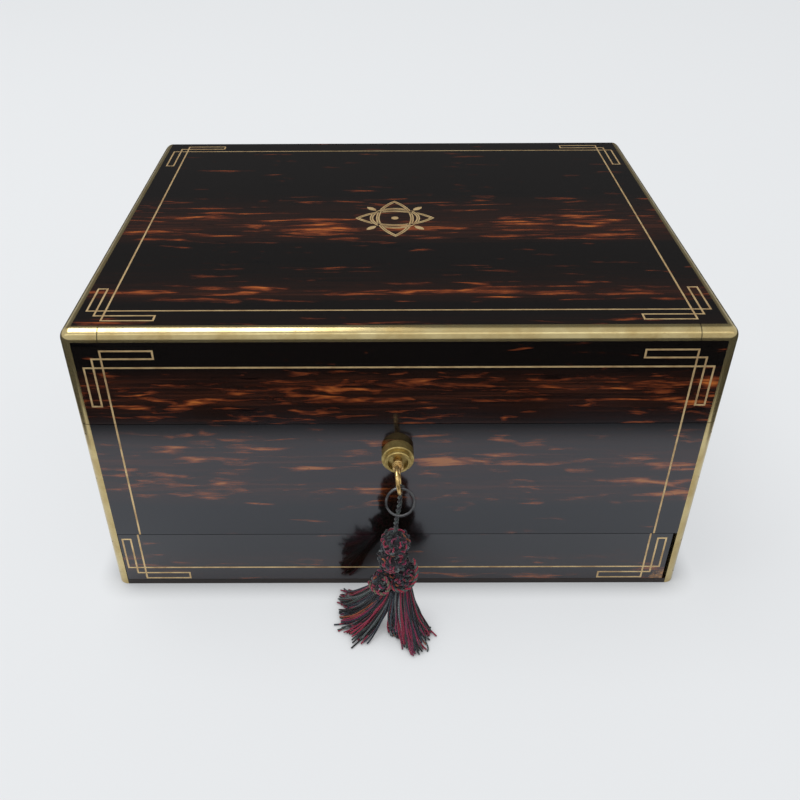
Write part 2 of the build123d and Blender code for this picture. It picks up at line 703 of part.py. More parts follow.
def key():
    """The key: a shank in the plug, three ribs, a neck and the round bow."""
    deep = plug_face() - SLIDER_END + RUN
    profile = [(0, deep), (SHANK_R, deep), (SHANK_R, RIB_OUT)]
    for n in range(RIBS):
        out = RIB_OUT + n * RIB_PITCH
        profile += [(RIB_R, out + 0.2 * RIB_PITCH), (RIB_R, out + 0.7 * RIB_PITCH)]
        profile += [(RIB_ROOT_R, out + RIB_PITCH)]
    neck = RIB_OUT + (RIBS + 0.4) * RIB_PITCH
    joint = BOW_OUT - BOW_R + BOW_WIRE
    profile += [(NECK_WIDE, neck), (NECK_SLIM, joint), (0, joint)]
    shank = front_turned(profile, 0, KEY_Z)
    bow = bow_place() * Rot(0, 90, 0) * Torus(BOW_R - BOW_WIRE, BOW_WIRE)
    return shank + bow


# ---- ring, cord and tassel ----
def ring_pivot():
    """The middle of the ring's wire where it hangs in the bow."""
    clear = math.hypot(RING_WIRE, RING_DEEP) / 2 + BOW_WIRE + EYE_PLAY
    return bow_wire(-RING_ALONG) + Vector(0, 0, clear)


def split_ring():
    """Two flat turns of wire, shown as one ring with a fine slit between the turns."""
    hang = Pos(*ring_pivot()) * Rot(90 - RING_LEAN, 0, 0)
    ring = Cylinder(RING_R, RING_DEEP) - Cylinder(RING_R - RING_WIRE, RING_DEEP)
    slit = Cylinder(RING_R, 0.1) - Cylinder(RING_R - RING_WIRE / 3, 0.1)
    return hang * Pos(0, -(RING_R - RING_WIRE / 2), 0) * (ring - slit)


def eye_radius():
    """The radius of the cord's eye, to the middle of the cord."""
    return BOW_WIRE + EYE_PLAY + CORD_R


def cord_eye():
    """The cord's turn round the bow's wire."""
    return Pos(*bow_wire(EYE_ALONG)) * Rot(90, 0, 0) * Torus(eye_radius(), CORD_R)


def swing_pivot():
    """The foot of the eye, where the cord swings."""
    return bow_wire(EYE_ALONG) - Vector(0, 0, eye_radius())


# The twisted cord's route, from just under the eye into the tassel's head.
CORD_START = swing_pivot() - Vector(0, 0, CORD_R + CORD_GAP)
CORD_ROUTE = [
    tuple(CORD_START),
    (CORD_START.X + 0.2, CORD_START.Y - 0.1, CORD_START.Z - 6.0),
    (-0.6, TASSEL_Y + 0.6, HEAD_TOP_Z + 9.0),
    (-1.1, TASSEL_Y + 0.1, HEAD_TOP_Z + 1.0),
    (-0.9, TASSEL_Y, HEAD_TOP_Z - 6.0),
    (-1.1, TASSEL_Y, HEAD_TOP_Z - HEAD_BORE),
]


def corner_radii(route):
    """A radius for each bend: 0.45 of the shorter run over the tangent of half the turn."""
    radii = []
    for before, here, after in zip(route, route[1:], route[2:]):
        run_in = Vector(*here) - Vector(*before)
        run_out = Vector(*after) - Vector(*here)
        half_turn = math.radians(run_in.get_angle(run_out)) / 2
        radii.append(0.45 * min(run_in.length, run_out.length) / math.tan(half_turn))
    return radii


def tassel_cord():
    """The two twisted strands as one tube along the route."""
    radii = corner_radii(CORD_ROUTE)
    print("cord radii", [round(r, 1) for r in radii])
    path = FilletPolyline(*CORD_ROUTE, radius=radii)
    section = Plane(origin=path @ 0, z_dir=path % 0) * Circle(TWIST_R)
    tube = sweep(section, path=path)
    print("cord", round(path.length, 2), round(tube.volume / (math.pi * TWIST_R ** 2 * path.length), 4))
    return tube


def yarn_ball(radius, place):
    """A ball with a banded surface, as wound yarn has."""
    angles = [math.pi * (n / BALL_BANDS - 0.5) for n in range(1, BALL_BANDS)]
    profile = [(radius * math.cos(a), radius * math.sin(a)) for a in angles]
    return turned([(0, -radius), *profile, (0, radius)], place)


def tassel_head():
    """A knob over a cluster of yarn knots."""
    head = None
    for x, y, z, radius in LUMPS:
        lump = yarn_ball(radius, Pos(x, TASSEL_Y + y, HEAD_TOP_Z + z))
        head = lump if head is None else head + lump
    return head


def skirt(sections):
    """A bundle of strands: flattened rounds along its length, one after the other."""
    faces = []
    for x, y, z, along, half_wide, half_thick in sections:
        plane = Plane(origin=(x, TASSEL_Y + y, z), x_dir=Vector(0, 0, 1).cross(Vector(*along)), z_dir=along)
        faces.append(plane * Ellipse(half_wide, half_thick))
    return loft(faces)


def tassel_skirts(head):
    """Two bundles of strands that fan out on the surface that the box stands on."""
    left, right = skirt(LEFT_SKIRT), skirt(RIGHT_SKIRT)
    return [left - head, right - head - left]


# ---- case ----
def case_sides(pins):
    """Side boards, cut at the corners for brass and below for the drawer front."""
    side = block((INNER_X, BOARD_X), (-BOARD_Y, BOARD_Y), (BASE_T, RIM_Z)) - corner_cuts()
    side -= block((INNER_X, EDGE_X), (-HALF_D, -INNER_Y), (0, MOUTH_Z))
    side -= pins
    return [side, flipped(side)]


def case_front_board(taken):
    """The board that carries the lock, above the drawer."""
    board = block((-INNER_X, INNER_X), (-BOARD_Y, -INNER_Y), (MOUTH_Z, RIM_Z)) - lock_room()
    board -= rod(NECK_R + RUN, (0, -HALF_D, KEY_Z), (0, -INNER_Y, KEY_Z))
    return cut_all(board, taken)


def case_back_board(taken):
    """The back board, cut for the hinges."""
    board = block((-INNER_X, INNER_X), (INNER_Y, BOARD_Y), (BASE_T, RIM_Z))
    board = board - knuckle_room() - leaf_room(RIM_Z - LEAF_T, EVER)
    return cut_all(board, taken)


def cut_all(shape, taken):
    """A shape less each of the others."""
    for other in taken:
        shape -= other
    return shape


def base_board():
    """The board under everything, with its bare front edge in view."""
    board = block((-BOARD_X, BOARD_X), (-HALF_D, BOARD_Y), (0, BASE_T))
    return board - corner_cuts()


def well_floor():
    """The floor between well and drawer, bored for the locking pin."""
    floor = block((-INNER_X, INNER_X), (-INNER_Y, INNER_Y), (MOUTH_Z, WELL_Z))
    return floor - pin_bore(0, WELL_Z)


def side_veneer(low, high):
    """Veneer on both sides, between the corner brasses."""
    sheet = block((BOARD_X, HALF_W), (-EDGE_Y, EDGE_Y), (low, high))
    return [sheet, flipped(sheet)]


# ---- drawer ----
def drawer_low():
    """The underside of the drawer."""
    return BASE_T + FIT


def drawer_front_span():
    """The drawer front's ends along X: close to the left brass, away from the right one."""
    return -EDGE_X + FIT, EDGE_X - SHRINK


def drawer_front():
    """The front board."""
    y = (-BOARD_Y, -INNER_Y - FIT)
    return block(drawer_front_span(), y, (drawer_low() - FIT / 3, MOUTH_Z - FIT))


def drawer_veneer():
    """Its veneer, before the lines are let in."""
    z = (drawer_low() - FIT / 3, MOUTH_Z - FIT)
    return block(drawer_front_span(), (-HALF_D, -BOARD_Y), z)


def drawer_box():
    """Sides, back and bottom: lists of solids."""
    outer = INNER_X - DRAWER_PLAY
    inner = outer - DRAWER_SIDE
    low, high = drawer_low(), MOUTH_Z - FIT - DRAWER_SIDE_DROP
    front, back = -INNER_Y - FIT, INNER_Y - DRAWER_BACK_GAP
    side = block((inner, outer), (front, back), (low, high))
    rear = block((-inner, inner), (back - DRAWER_SIDE, back), (low, high))
    notch = (PIN_X - PIN_NOTCH / 2, PIN_X + PIN_NOTCH / 2)
    rear -= block(notch, (back - DRAWER_SIDE, back), (MOUTH_Z - PIN_DROP - FIT, high))
    floor_z = (low + FLOOR_RISE, low + FLOOR_RISE + DRAWER_FLOOR)
    floor = block((-inner, inner), (front, back - DRAWER_SIDE), floor_z)
    return [side, flipped(side)], [rear], [floor]


def drawer_room():
    """The space inside the drawer: pairs along X, Y and Z."""
    half = INNER_X - DRAWER_PLAY - DRAWER_SIDE
    back = INNER_Y - DRAWER_BACK_GAP - DRAWER_SIDE
    low = drawer_low() + FLOOR_RISE + DRAWER_FLOOR
    high = MOUTH_Z - FIT - DRAWER_SIDE_DROP - LINING_DROP
    return (-half, half), (-INNER_Y - FIT, back), (low, high)


def drawer_lining():
    """Velvet on the drawer's floor and walls, two divisions, and a bed of ring rolls."""
    x, y, z = drawer_room()
    lining = block(x, y, z)
    split_x = x[1] / 3
    cells = [(x[0], -split_x), (-split_x, split_x), (split_x, x[1])]
    for low, high in cells:
        lining -= block((low + LINING, high - LINING), (y[0] + LINING, y[1] - LINING), (z[0] + LINING, EVER))
    left, right = cells[1][0] + LINING, cells[1][1] - LINING
    front, back = y[0] + LINING, y[1] - LINING
    floor = z[0] + LINING
    count = int((back - front) // (2 * RING_ROLL))
    half = (back - front) / (2 * count)
    bed = block((left, right), (front, back), (floor, floor + LINING))
    for n in range(count):
        middle = front + half + 2 * half * n
        log = rod(half, (left, middle, floor), (right, middle, floor))
        bed += log & block((left, right), (front, back), (floor, EVER))
    return [lining, bed]


# ---- drawer pin ----
def pin_y():
    """The pin stands over the drawer's back."""
    return INNER_Y - DRAWER_BACK_GAP - DRAWER_SIDE / 2


def pin_bore(low, high):
    """A running hole for the pin."""
    return rod(PIN_R + PIN_PLAY, (PIN_X, pin_y(), low), (PIN_X, pin_y(), high))


def pin_block_top():
    """The guide block's top: the knob stops on it."""
    return RIM_Z - DIVIDER_TOP - PIN_KNOB_H - PIN_DROP


def drawer_pin():
    """A brass pin with a knob, drawn up."""
    knob_low = pin_block_top() + PIN_DROP
    pin = rod(PIN_R, (PIN_X, pin_y(), MOUTH_Z + FIT), (PIN_X, pin_y(), knob_low))
    rim = PIN_KNOB_R * 0.8
    edge = PIN_KNOB_H / 4
    profile = [(0, 0), (rim, 0), (PIN_KNOB_R, edge), (PIN_KNOB_R, PIN_KNOB_H - edge)]
    profile += [(rim, PIN_KNOB_H), (0, PIN_KNOB_H)]
    return pin + turned(profile, Pos(PIN_X, pin_y(), knob_low))


# ---- inside of the case ----
def well_lining():
    """Velvet round the walls of the well, open round the lock."""
    z = (WELL_Z, RIM_Z - DIVIDER_TOP)
    ring = block((-INNER_X, INNER_X), (-INNER_Y, INNER_Y), z)
    ring -= block((LINING - INNER_X, INNER_X - LINING), (LINING - INNER_Y, INNER_Y - LINING), z)
    half = LOCK_W / 2 + FIT
    return ring - block((-half, half), (-INNER_Y, 0), (RIM_Z - LOCK_H - FIT, RIM_Z))


def column_x():
    """The inner faces of a side column along X."""
    return TRAY_HALF_W + FIT + DIVIDER, INNER_X - LINING


def divider_frame():
    """Two long divisions, three short ones in each column, ledges, and the pin's guide block."""
    depth = INNER_Y - LINING
    z = (WELL_Z, RIM_Z - DIVIDER_TOP)
    inner = TRAY_HALF_W + FIT
    frame = block((inner, inner + DIVIDER), (-depth, depth), z)
    for n in range(1, JARS):
        y = -depth + n * 2 * depth / JARS
        frame += block(column_x(), (y - DIVIDER / 2, y + DIVIDER / 2), z)
    ledge_z = RIM_Z - DIVIDER_TOP - TRAY_H
    ledge = block((inner - LEDGE, inner), (-depth, depth - TRAY_GAP_BACK), (ledge_z - LEDGE, ledge_z))
    frame += ledge
    back = block((-inner, inner), (depth - TRAY_GAP_BACK, depth - TRAY_GAP_BACK + DIVIDER), z)
    guide_y = (depth - TRAY_GAP_BACK, depth)
    guide = block((PIN_X - PIN_GUIDE, PIN_X + PIN_GUIDE), guide_y, (WELL_Z, pin_block_top()))
    room = rod(PIN_KNOB_R + FINGER, (PIN_X, pin_y(), pin_block_top()), (PIN_X, pin_y(), RIM_Z))
    whole = frame + flipped(frame) + back + guide
    return whole - room - pin_bore(WELL_Z, pin_block_top())


def tray_span():
    """The middle tray: pairs along X, Y and Z."""
    depth = INNER_Y - LINING
    top = RIM_Z - DIVIDER_TOP
    y = (-depth + FIT + LOCK_ROOM, depth - TRAY_GAP_BACK - FIT)
    return (-TRAY_HALF_W, TRAY_HALF_W), y, (top - TRAY_H, top)


def centre_tray():
    """A lift-out tray with an open cell in front and a cell for tools behind."""
    x, y, z = tray_span()
    tray = block(x, y, z)
    inner_x = (x[0] + TRAY_WALL, x[1] - TRAY_WALL)
    for low, high in ((y[0] + TRAY_WALL, TRAY_SPLIT), (TRAY_SPLIT + TRAY_WALL, y[1] - TRAY_WALL)):
        tray -= block(inner_x, (low, high), (z[0] + TRAY_WALL, z[1]))
    return tray


def tool_places():
    """X of each tool, and the height of their middles."""
    x, _, z = tray_span()
    step = (x[1] - x[0] - 2 * TRAY_WALL) / TOOLS
    first = x[0] + TRAY_WALL + step / 2
    return [first + n * step for n in range(TOOLS)], z[1] - TOOL_SUNK


def tray_pad():
    """Velvet pad with a groove for each tool."""
    x, y, z = tray_span()
    places, height = tool_places()
    inner_x = (x[0] + TRAY_WALL, x[1] - TRAY_WALL)
    inner_y = (TRAY_SPLIT + TRAY_WALL, y[1] - TRAY_WALL)
    pad = block(inner_x, inner_y, (z[0] + TRAY_WALL, height))
    middle = sum(inner_y) / 2
    half = TOOL_L / 2 + TOOL_END_ROOM
    bed = TOOL_R + TOOL_PLAY
    for place in places:
        pad -= rod(bed, (place, middle - half, height), (place, middle + half, height))
    return pad


def manicure_tools():
    """Slim tools with turned handles and flat steel blades."""
    _, y, _ = tray_span()
    places, height = tool_places()
    middle = (TRAY_SPLIT + TRAY_WALL + y[1] - TRAY_WALL) / 2
    handle = HANDLE_SHARE * TOOL_L
    bead = 0.95 * TOOL_R
    profile = [(0, 0), (0.75 * TOOL_R, 0.2 * TOOL_R), (TOOL_R, 1.2 * TOOL_R), (0.7 * TOOL_R, 0.5 * handle)]
    profile += [(bead, 0.9 * handle), (bead, 0.96 * handle), (0.5 * TOOL_R, handle), (0, handle)]
    tools = []
    for number, place in enumerate(places):
        width = TOOL_R * (0.55 + 0.1 * (number % 3))
        blade = block((-width, width), (-BLADE_T / 2, BLADE_T / 2), (handle - 1, TOOL_L - 2 * (number % 3)))
        bed = Plane(origin=(place, middle - TOOL_L / 2, height), z_dir=(0, 1, 0), x_dir=(1, 0, 0))
        tools.append(bed * (turned(profile) + blade))
    return tools


def jar_places():
    """The middles of all jars."""
    depth = INNER_Y - LINING
    cell = 2 * depth / JARS
    x = sum(column_x()) / 2
    return [(side * x, -depth + (n + 0.5) * cell) for side in (-1, 1) for n in range(JARS)]


def glass_jars():
    """Thick glass jars with a narrower neck."""
    inner = JAR_NECK_R - JAR_WALL
    shoulder = JAR_H - JAR_SLOPE
    profile = [(0, 0), (JAR_R - JAR_FOOT, 0), (JAR_R, JAR_FOOT), (JAR_R, shoulder), (JAR_NECK_R, JAR_H)]
    profile += [(JAR_NECK_R, JAR_H + JAR_NECK_H), (inner, JAR_H + JAR_NECK_H), (inner, JAR_H)]
    profile += [(JAR_R - JAR_WALL, shoulder - JAR_SLOPE), (JAR_R - JAR_WALL, JAR_FLOOR), (0, JAR_FLOOR)]
    return [turned(profile, Pos(x, y, WELL_Z)) for x, y in jar_places()]


def silver_lids():
    """Slip-on silver lids with a beaded rim and a low dome."""
    inner, wall = JAR_NECK_R + LID_PLAY, JAR_R - LID_STEP
    top = JAR_LID_H
    crown = JAR_NECK_H + LID_CROWN
    profile = [(inner, 0), (JAR_R, 0), (JAR_R, LID_BEAD), (wall, LID_BEAD + LID_STEP)]
    profile += [(wall, top - 5 * LID_STEP)]
    profile += [(wall - 2 * LID_STEP, top - 3 * LID_STEP), (0.6 * JAR_R, top - LID_STEP), (0, top)]
    profile += [(0, crown), (inner, crown)]
    return [turned(profile, Pos(x, y, WELL_Z + JAR_H)) for x, y in jar_places()]


# ---- lid ----
def lid_top_board():
    """The board over the rails."""
    board = block((-BOARD_X, BOARD_X), (-BOARD_Y, BOARD_Y), (LID_BOARD_Z, BOX_H - VENEER))
    return board - corner_cuts() - top_edge_cuts()


def lid_side_rails(pins):
    """The lid's side walls."""
    rail = block((INNER_X, BOARD_X), (-BOARD_Y, BOARD_Y), (LID_Z, LID_BOARD_Z)) - corner_cuts() - pins
    return [rail, flipped(rail)]


def lid_front_rail(taken):
    """The lid's front wall, cut for the striker plate and the turn button."""
    rail = block((-INNER_X, INNER_X), (-BOARD_Y, -INNER_Y), (LID_Z, LID_BOARD_Z))
    rail -= rim_plate(LID_Z, LID_Z + PLATE_T)
    low = mirror_low() - FIT - CATCH_T
    deep = CATCH_L - CATCH_IN + 2 * FIT
    slot_x = (-CATCH_W / 2 - 2 * FIT, CATCH_L)
    rail -= block(slot_x, (-INNER_Y - deep, -INNER_Y), (low - FIT, mirror_low()))
    return cut_all(rail, taken)


def lid_back_rail(taken):
    """The lid's back wall, cut for the hinges."""
    rail = block((-INNER_X, INNER_X), (INNER_Y, BOARD_Y), (LID_Z, LID_BOARD_Z))
    rail = rail - knuckle_room() - leaf_room(-EVER, LID_Z + LEAF_T)
    return cut_all(rail, taken)


def mirror_low():
    """The underside of the mirror's frame in the closed lid."""
    return LID_Z + MIRROR_UP


def catch_place():
    """The turn button's pivot."""
    return 0, -INNER_Y + CATCH_IN


def mirror_frame():
    """A panel with a recess for the glass and a hole for the turn button's pin."""
    x, y = INNER_X - FIT, INNER_Y - FIT
    low = mirror_low()
    frame = block((-x, x), (-y, y), (low, low + MIRROR_T))
    glass_x, glass_y = x - MIRROR_BORDER, y - MIRROR_BORDER
    inner = block((-glass_x, glass_x), (-glass_y, glass_y), (low, low + GLASS_T))
    pivot = (*catch_place(), low - 1)
    return frame - inner - rod(CATCH_PIN_R + RUN, pivot, (*catch_place(), low + CATCH_PIN_L + CATCH_END))


def mirror_glass():
    """The silvered glass."""
    x, y = INNER_X - FIT - MIRROR_BORDER, INNER_Y - FIT - MIRROR_BORDER
    low = mirror_low()
    return block((-x, x), (-y, y), (low + GLASS_SUNK, low + GLASS_T))


def mirror_catch():
    """A turn button: a round head with a nose that reaches under the front rail's slot."""
    x, y = catch_place()
    high = mirror_low() - FIT
    head = rod(CATCH_W * 0.75, (x, y, high - CATCH_T), (x, y, high))
    tip_y = y - CATCH_L + CATCH_W / 2
    nose = block((-CATCH_W / 2, CATCH_W / 2), (tip_y, y), (high - CATCH_T, high))
    tip = rod(CATCH_W / 2, (x, tip_y, high - CATCH_T), (x, tip_y, high))
    return head + nose + tip + rod(CATCH_PIN_R, (x, y, high), (x, y, mirror_low() + CATCH_PIN_L))


# ---- build every node ----
def build_case(case_pins, screw_room):
    """The case and what is fixed to it."""
    pins = Compound(children=case_pins)
    lines = case_stringing()
    front = block((-EDGE_X, EDGE_X), (-HALF_D, -BOARD_Y), (MOUTH_Z, RIM_Z))
    front -= rod(NECK_R + RUN, (0, -HALF_D, KEY_Z), (0, -BOARD_Y, KEY_Z))
    back = block((-EDGE_X, EDGE_X), (BOARD_Y, HALF_D), (0, RIM_Z))
    back = back - knuckle_room() - leaf_room(RIM_Z - LEAF_T, EVER)
    save("base_board", base_board())
    save("case_sides", *case_sides(pins))
    save("case_back_board", case_back_board(screw_room))
    save("case_front_board", case_front_board(screw_room))
    save("well_floor", well_floor())
    save("case_front_veneer", cut_all(front, lines))
    save("case_side_veneers", *side_veneer(0, RIM_Z))
    save("case_back_veneer", back)
    save("case_stringing", *lines)
    save("case_corner_brasses", *case_corner_brasses(pins))
    save("case_edging_pins", *case_pins)


def build_lid(lid_pins, screw_room):
    """The lid and what is fixed to it."""
    pins = Compound(children=lid_pins)
    lines = lid_stringing()
    knot = lid_medallion()
    top = block((-EDGE_X, EDGE_X), (-EDGE_Y, HALF_D), (BOX_H - VENEER, BOX_H))
    front = block((-EDGE_X, EDGE_X), (-HALF_D, -BOARD_Y), (LID_Z, EDGE_Z))
    back = block((-EDGE_X, EDGE_X), (BOARD_Y, HALF_D), (LID_Z, BOX_H - VENEER))
    back = back - knuckle_room() - leaf_room(-EVER, LID_Z + LEAF_T)
    save("lid_top_board", lid_top_board())
    save("lid_front_rail", lid_front_rail(screw_room))
    save("lid_back_rail", lid_back_rail(screw_room))
    save("lid_side_rails", *lid_side_rails(pins))
    save("lid_top_veneer", cut_all(top, [lines[0], knot]))
    save("lid_front_veneer", cut_all(front, [lines[1]]))
    save("lid_side_veneers", *side_veneer(LID_Z, EDGE_Z))
    save("lid_back_veneer", back)
    save("lid_stringing", *lines)
    save("lid_medallion", knot)
    save("lid_edge_brasses", *lid_edge_brasses())
    save("lid_corner_brasses", *lid_corner_brasses(pins))
    save("lid_edging_pins", *lid_pins)
    save("mirror_frame", mirror_frame())
    save("mirror_glass", mirror_glass())
    save("mirror_catch", mirror_catch())


def build_metalwork(case_room, lid_room):
    """Hinges, lock and key."""
    knuckles = set(range(0, HINGE_PARTS, 2))
    case_leaf = cut_all(hinge_leaf(knuckles, RIM_Z - LEAF_T, RIM_Z), case_room)
    lid_leaf = cut_all(hinge_leaf(set(range(HINGE_PARTS)) - knuckles, LID_Z, LID_Z + LEAF_T), lid_room)
    pin = on_axis(HINGE_PIN_R, (HINGE_X - HINGE_L / 2, HINGE_X + HINGE_L / 2))
    save("case_hinge_leaves", case_leaf, flipped(case_leaf))
    save("lid_hinge_leaves", lid_leaf, flipped(lid_leaf))
    save("hinge_pins", pin, flipped(pin))
    save("lock_case", cut_all(lock_case(), case_room))
    save("lock_nozzle", lock_nozzle())
    save("lock_plug", lock_plug())
    save("lock_sliders", *lock_sliders())
    save("lock_spring", lock_spring())
    save("lock_bolt", lock_bolt())
    save("striker_plate", striker_plate(lid_room))
    save("key", key())


def build_hanging():
    """Ring, cord and tassel."""
    cord, head = tassel_cord(), tassel_head()
    save("split_ring", split_ring())
    save("cord_eye", cord_eye())
    save("tassel_cord", cord)
    save("tassel_head", head - cord)
    save("tassel_skirts", *tassel_skirts(head))


def build_drawer():
    """The drawer and its pin."""
    sides, rear, floor = drawer_box()
    lines = drawer_stringing(MOUTH_Z - FIT)
    save("drawer_front", drawer_front())
    save("drawer_sides", *sides)
    save("drawer_back", *rear)
    save("drawer_bottom", *floor)
    save("drawer_front_veneer", drawer_veneer() - lines)
    save("drawer_stringing", lines)
    save("drawer_lining", *drawer_lining())
    save("drawer_pin", drawer_pin())


def build_fittings():
    """What the box holds."""
    save("well_lining", well_lining())
    save("divider_frame", divider_frame())
    save("centre_tray", centre_tray())
    save("tray_pad", tray_pad())
    save("glass_jars", *glass_jars())
    save("silver_lids", *silver_lids())
    save("manicure_tools", *manicure_tools())


def main():
    """Builds and writes every node."""
    os.makedirs("parts", exist_ok=True)
    case_screws, case_room = screws(RIM_Z, True)
    lid_screws, lid_room = screws(LID_Z, False)
    build_case(tacks(0, RIM_Z, CASE_TACKS), case_room)
    build_lid(tacks(LID_Z, EDGE_Z, LID_TACKS), lid_room)
    build_metalwork(case_room, lid_room)
    save("case_screws", *case_screws)
    save("lid_screws", *lid_screws)
    build_hanging()
    build_drawer()
    build_fittings()


main()
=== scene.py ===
import logging
import math
from collections.abc import Callable
from dataclasses import dataclass
from enum import Enum

import bmesh
import bpy
import numpy as np
from mathutils import Matrix, Vector


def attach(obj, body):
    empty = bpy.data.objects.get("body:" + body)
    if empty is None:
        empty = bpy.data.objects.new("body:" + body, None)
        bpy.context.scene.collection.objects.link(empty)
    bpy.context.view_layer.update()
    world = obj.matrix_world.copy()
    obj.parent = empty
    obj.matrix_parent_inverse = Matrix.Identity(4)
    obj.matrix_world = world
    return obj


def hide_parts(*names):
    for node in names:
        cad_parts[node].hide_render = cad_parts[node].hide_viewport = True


# Antique fitted dressing box: the looks of its woods, metals, linings, fittings and tassel.
# Lengths in the classes are millimetres, and every mesh is written in metres.

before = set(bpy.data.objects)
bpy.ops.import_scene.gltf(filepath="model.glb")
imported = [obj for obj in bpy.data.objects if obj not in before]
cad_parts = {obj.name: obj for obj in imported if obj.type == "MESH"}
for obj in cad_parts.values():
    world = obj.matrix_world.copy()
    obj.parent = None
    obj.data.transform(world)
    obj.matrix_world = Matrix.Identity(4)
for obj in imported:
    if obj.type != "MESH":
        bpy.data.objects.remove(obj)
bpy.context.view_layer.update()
LOG = logging.getLogger("dressing_box")
MM = 0.001
TAU = 2 * math.pi
TWIST = 1.3  # millimetres along a strand of yarn for one turn of its twist


# ---- small tools ----
def linear(colour: str) -> tuple[float, float, float, float]:
    """Turns an sRGB hex colour into linear light.

    Args:
        colour: six hex digits after a hash.

    Returns:
        Red, green, blue and an alpha of one.
    """
    parts = np.array([int(colour[i:i + 2], 16) / 255 for i in (1, 3, 5)])
    lit = np.where(parts <= 0.04045, parts / 12.92, ((parts + 0.055) / 1.055) ** 2.4)
    return (*lit.tolist(), 1.0)


def node(
    tree: bpy.types.NodeTree, kind: str, inputs: dict | None = None, stops: tuple = (), **settings,
) -> bpy.types.Node:
    """Adds one shader node with its settings and links.

    Args:
        tree: the node tree it goes into.
        kind: the node's type, without its ShaderNode prefix.
        inputs: values or sockets by input name or number.
        stops: places and hex colours, where the node has a colour ramp.
        settings: the node's own properties.

    Returns:
        The new node.
    """
    made = tree.nodes.new("ShaderNode" + kind)
    for key, value in settings.items():
        setattr(made, key, value)
    for number, (place, colour) in enumerate(stops):
        element = made.color_ramp.elements[number] if number < 2 else made.color_ramp.elements.new(place)
        element.position = place
        element.color = linear(colour)
    for key, value in (inputs or {}).items():
        if isinstance(value, bpy.types.NodeSocket):
            tree.links.new(value, made.inputs[key])
        else:
            made.inputs[key].default_value = value
    return made


def blank(name: str) -> tuple[bpy.types.Material, bpy.types.NodeTree]:
    """Starts a material with an empty node tree.

    Args:
        name: the finish's name.

    Returns:
        The material and its node tree.
    """
    material = bpy.data.materials.new(name)
    material.use_nodes = True
    material.node_tree.nodes.clear()
    return material, material.node_tree


def finish_off(tree: bpy.types.NodeTree, inputs: dict) -> None:
    """Adds the Principled shader with these inputs, by name, and joins it to the output."""
    shader = node(tree, "BsdfPrincipled", inputs)
    node(tree, "OutputMaterial", {"Surface": shader.outputs[0]})


def dress(material: bpy.types.Material, *names: str) -> None:
    """Gives CAD nodes their material.

    Args:
        material: the finish.
        names: the nodes that wear it.
    """
    for name in names:
        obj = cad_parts[name]
        if not obj.material_slots:
            obj.data.materials.append(material)
        for slot in obj.material_slots:
            slot.material = material
        LOG.info("dressed %s in %s", name, material.name)


# ---- surfaces ----
def surface(
    name: str, grids: np.ndarray, wrap: tuple[bool, bool], marks: dict | None = None,
) -> bpy.types.Object:
    """Makes one mesh of several equal grids of points.

    The point at row i and column j joins those at i + 1 and j + 1, and a wrapped side joins its last
    to its first. Points that fall together are merged, so poles and seams are closed.

    Args:
        name: the piece's name.
        grids: points in millimetres, as an array of grid, row, column and coordinate.
        wrap: whether rows and whether columns close on themselves.
        marks: float values, or colours of four, for each point, by attribute name.

    Returns:
        The object, at the origin, smooth shaded.
    """
    count, rows, columns, _ = grids.shape
    index = np.arange(count * rows * columns).reshape(count, rows, columns)
    down = np.roll(index, -1, 1) if wrap[0] else index[:, 1:]
    here = index if wrap[0] else index[:, :-1]
    corners = [here, down, np.roll(down, -1, 2), np.roll(here, -1, 2)]
    quads = np.stack(corners, -1)
    quads = quads if wrap[1] else quads[:, :, :-1]
    quads = quads.reshape(-1, 4)
    mesh = bpy.data.meshes.new(name)
    mesh.vertices.add(index.size)
    mesh.vertices.foreach_set("co", (grids * MM).astype(np.float32).ravel())
    mesh.loops.add(quads.size)
    mesh.loops.foreach_set("vertex_index", quads.astype(np.int32).ravel())
    mesh.polygons.add(len(quads))
    mesh.polygons.foreach_set("loop_start", np.arange(0, quads.size, 4, dtype=np.int32))
    mesh.update(calc_edges=True)
    for label, values in (marks or {}).items():
        flat = np.asarray(values, np.float32).reshape(index.size, -1)
        colour = flat.shape[1] == 4
        kind, key = ("FLOAT_COLOR", "color") if colour else ("FLOAT", "value")
        mesh.attributes.new(label, kind, "POINT").data.foreach_set(key, flat.ravel())
    shell = bmesh.new()
    shell.from_mesh(mesh)
    bmesh.ops.remove_doubles(shell, verts=shell.verts, dist=2e-6)
    bmesh.ops.recalc_face_normals(shell, faces=shell.faces)
    shell.to_mesh(mesh)
    shell.free()
    mesh.polygons.foreach_set("use_smooth", np.ones(len(mesh.polygons), bool))
    mesh.validate()
    obj = bpy.data.objects.new(name, mesh)
    bpy.context.collection.objects.link(obj)
    LOG.info("made %s: %d faces", name, len(mesh.polygons))
    return obj


def unit(vectors: np.ndarray) -> np.ndarray:
    """Each vector over its own length."""
    return vectors / np.maximum(np.linalg.norm(vectors, axis=-1, keepdims=True), 1e-9)


def frames(paths: np.ndarray, reference: np.ndarray) -> tuple[np.ndarray, np.ndarray]:
    """Two directions across each path: the reference less its share along the path, and their cross product.

    Args:
        paths: points, as an array of path, step and coordinate.
        reference: one direction for each path, never along it.

    Returns:
        Both directions, unit length, for each point.
    """
    along = unit(np.gradient(paths, axis=1))
    base = np.broadcast_to(reference[:, None, :], paths.shape)
    side = unit(base - (base * along).sum(-1, keepdims=True) * along)
    return side, np.cross(along, side)


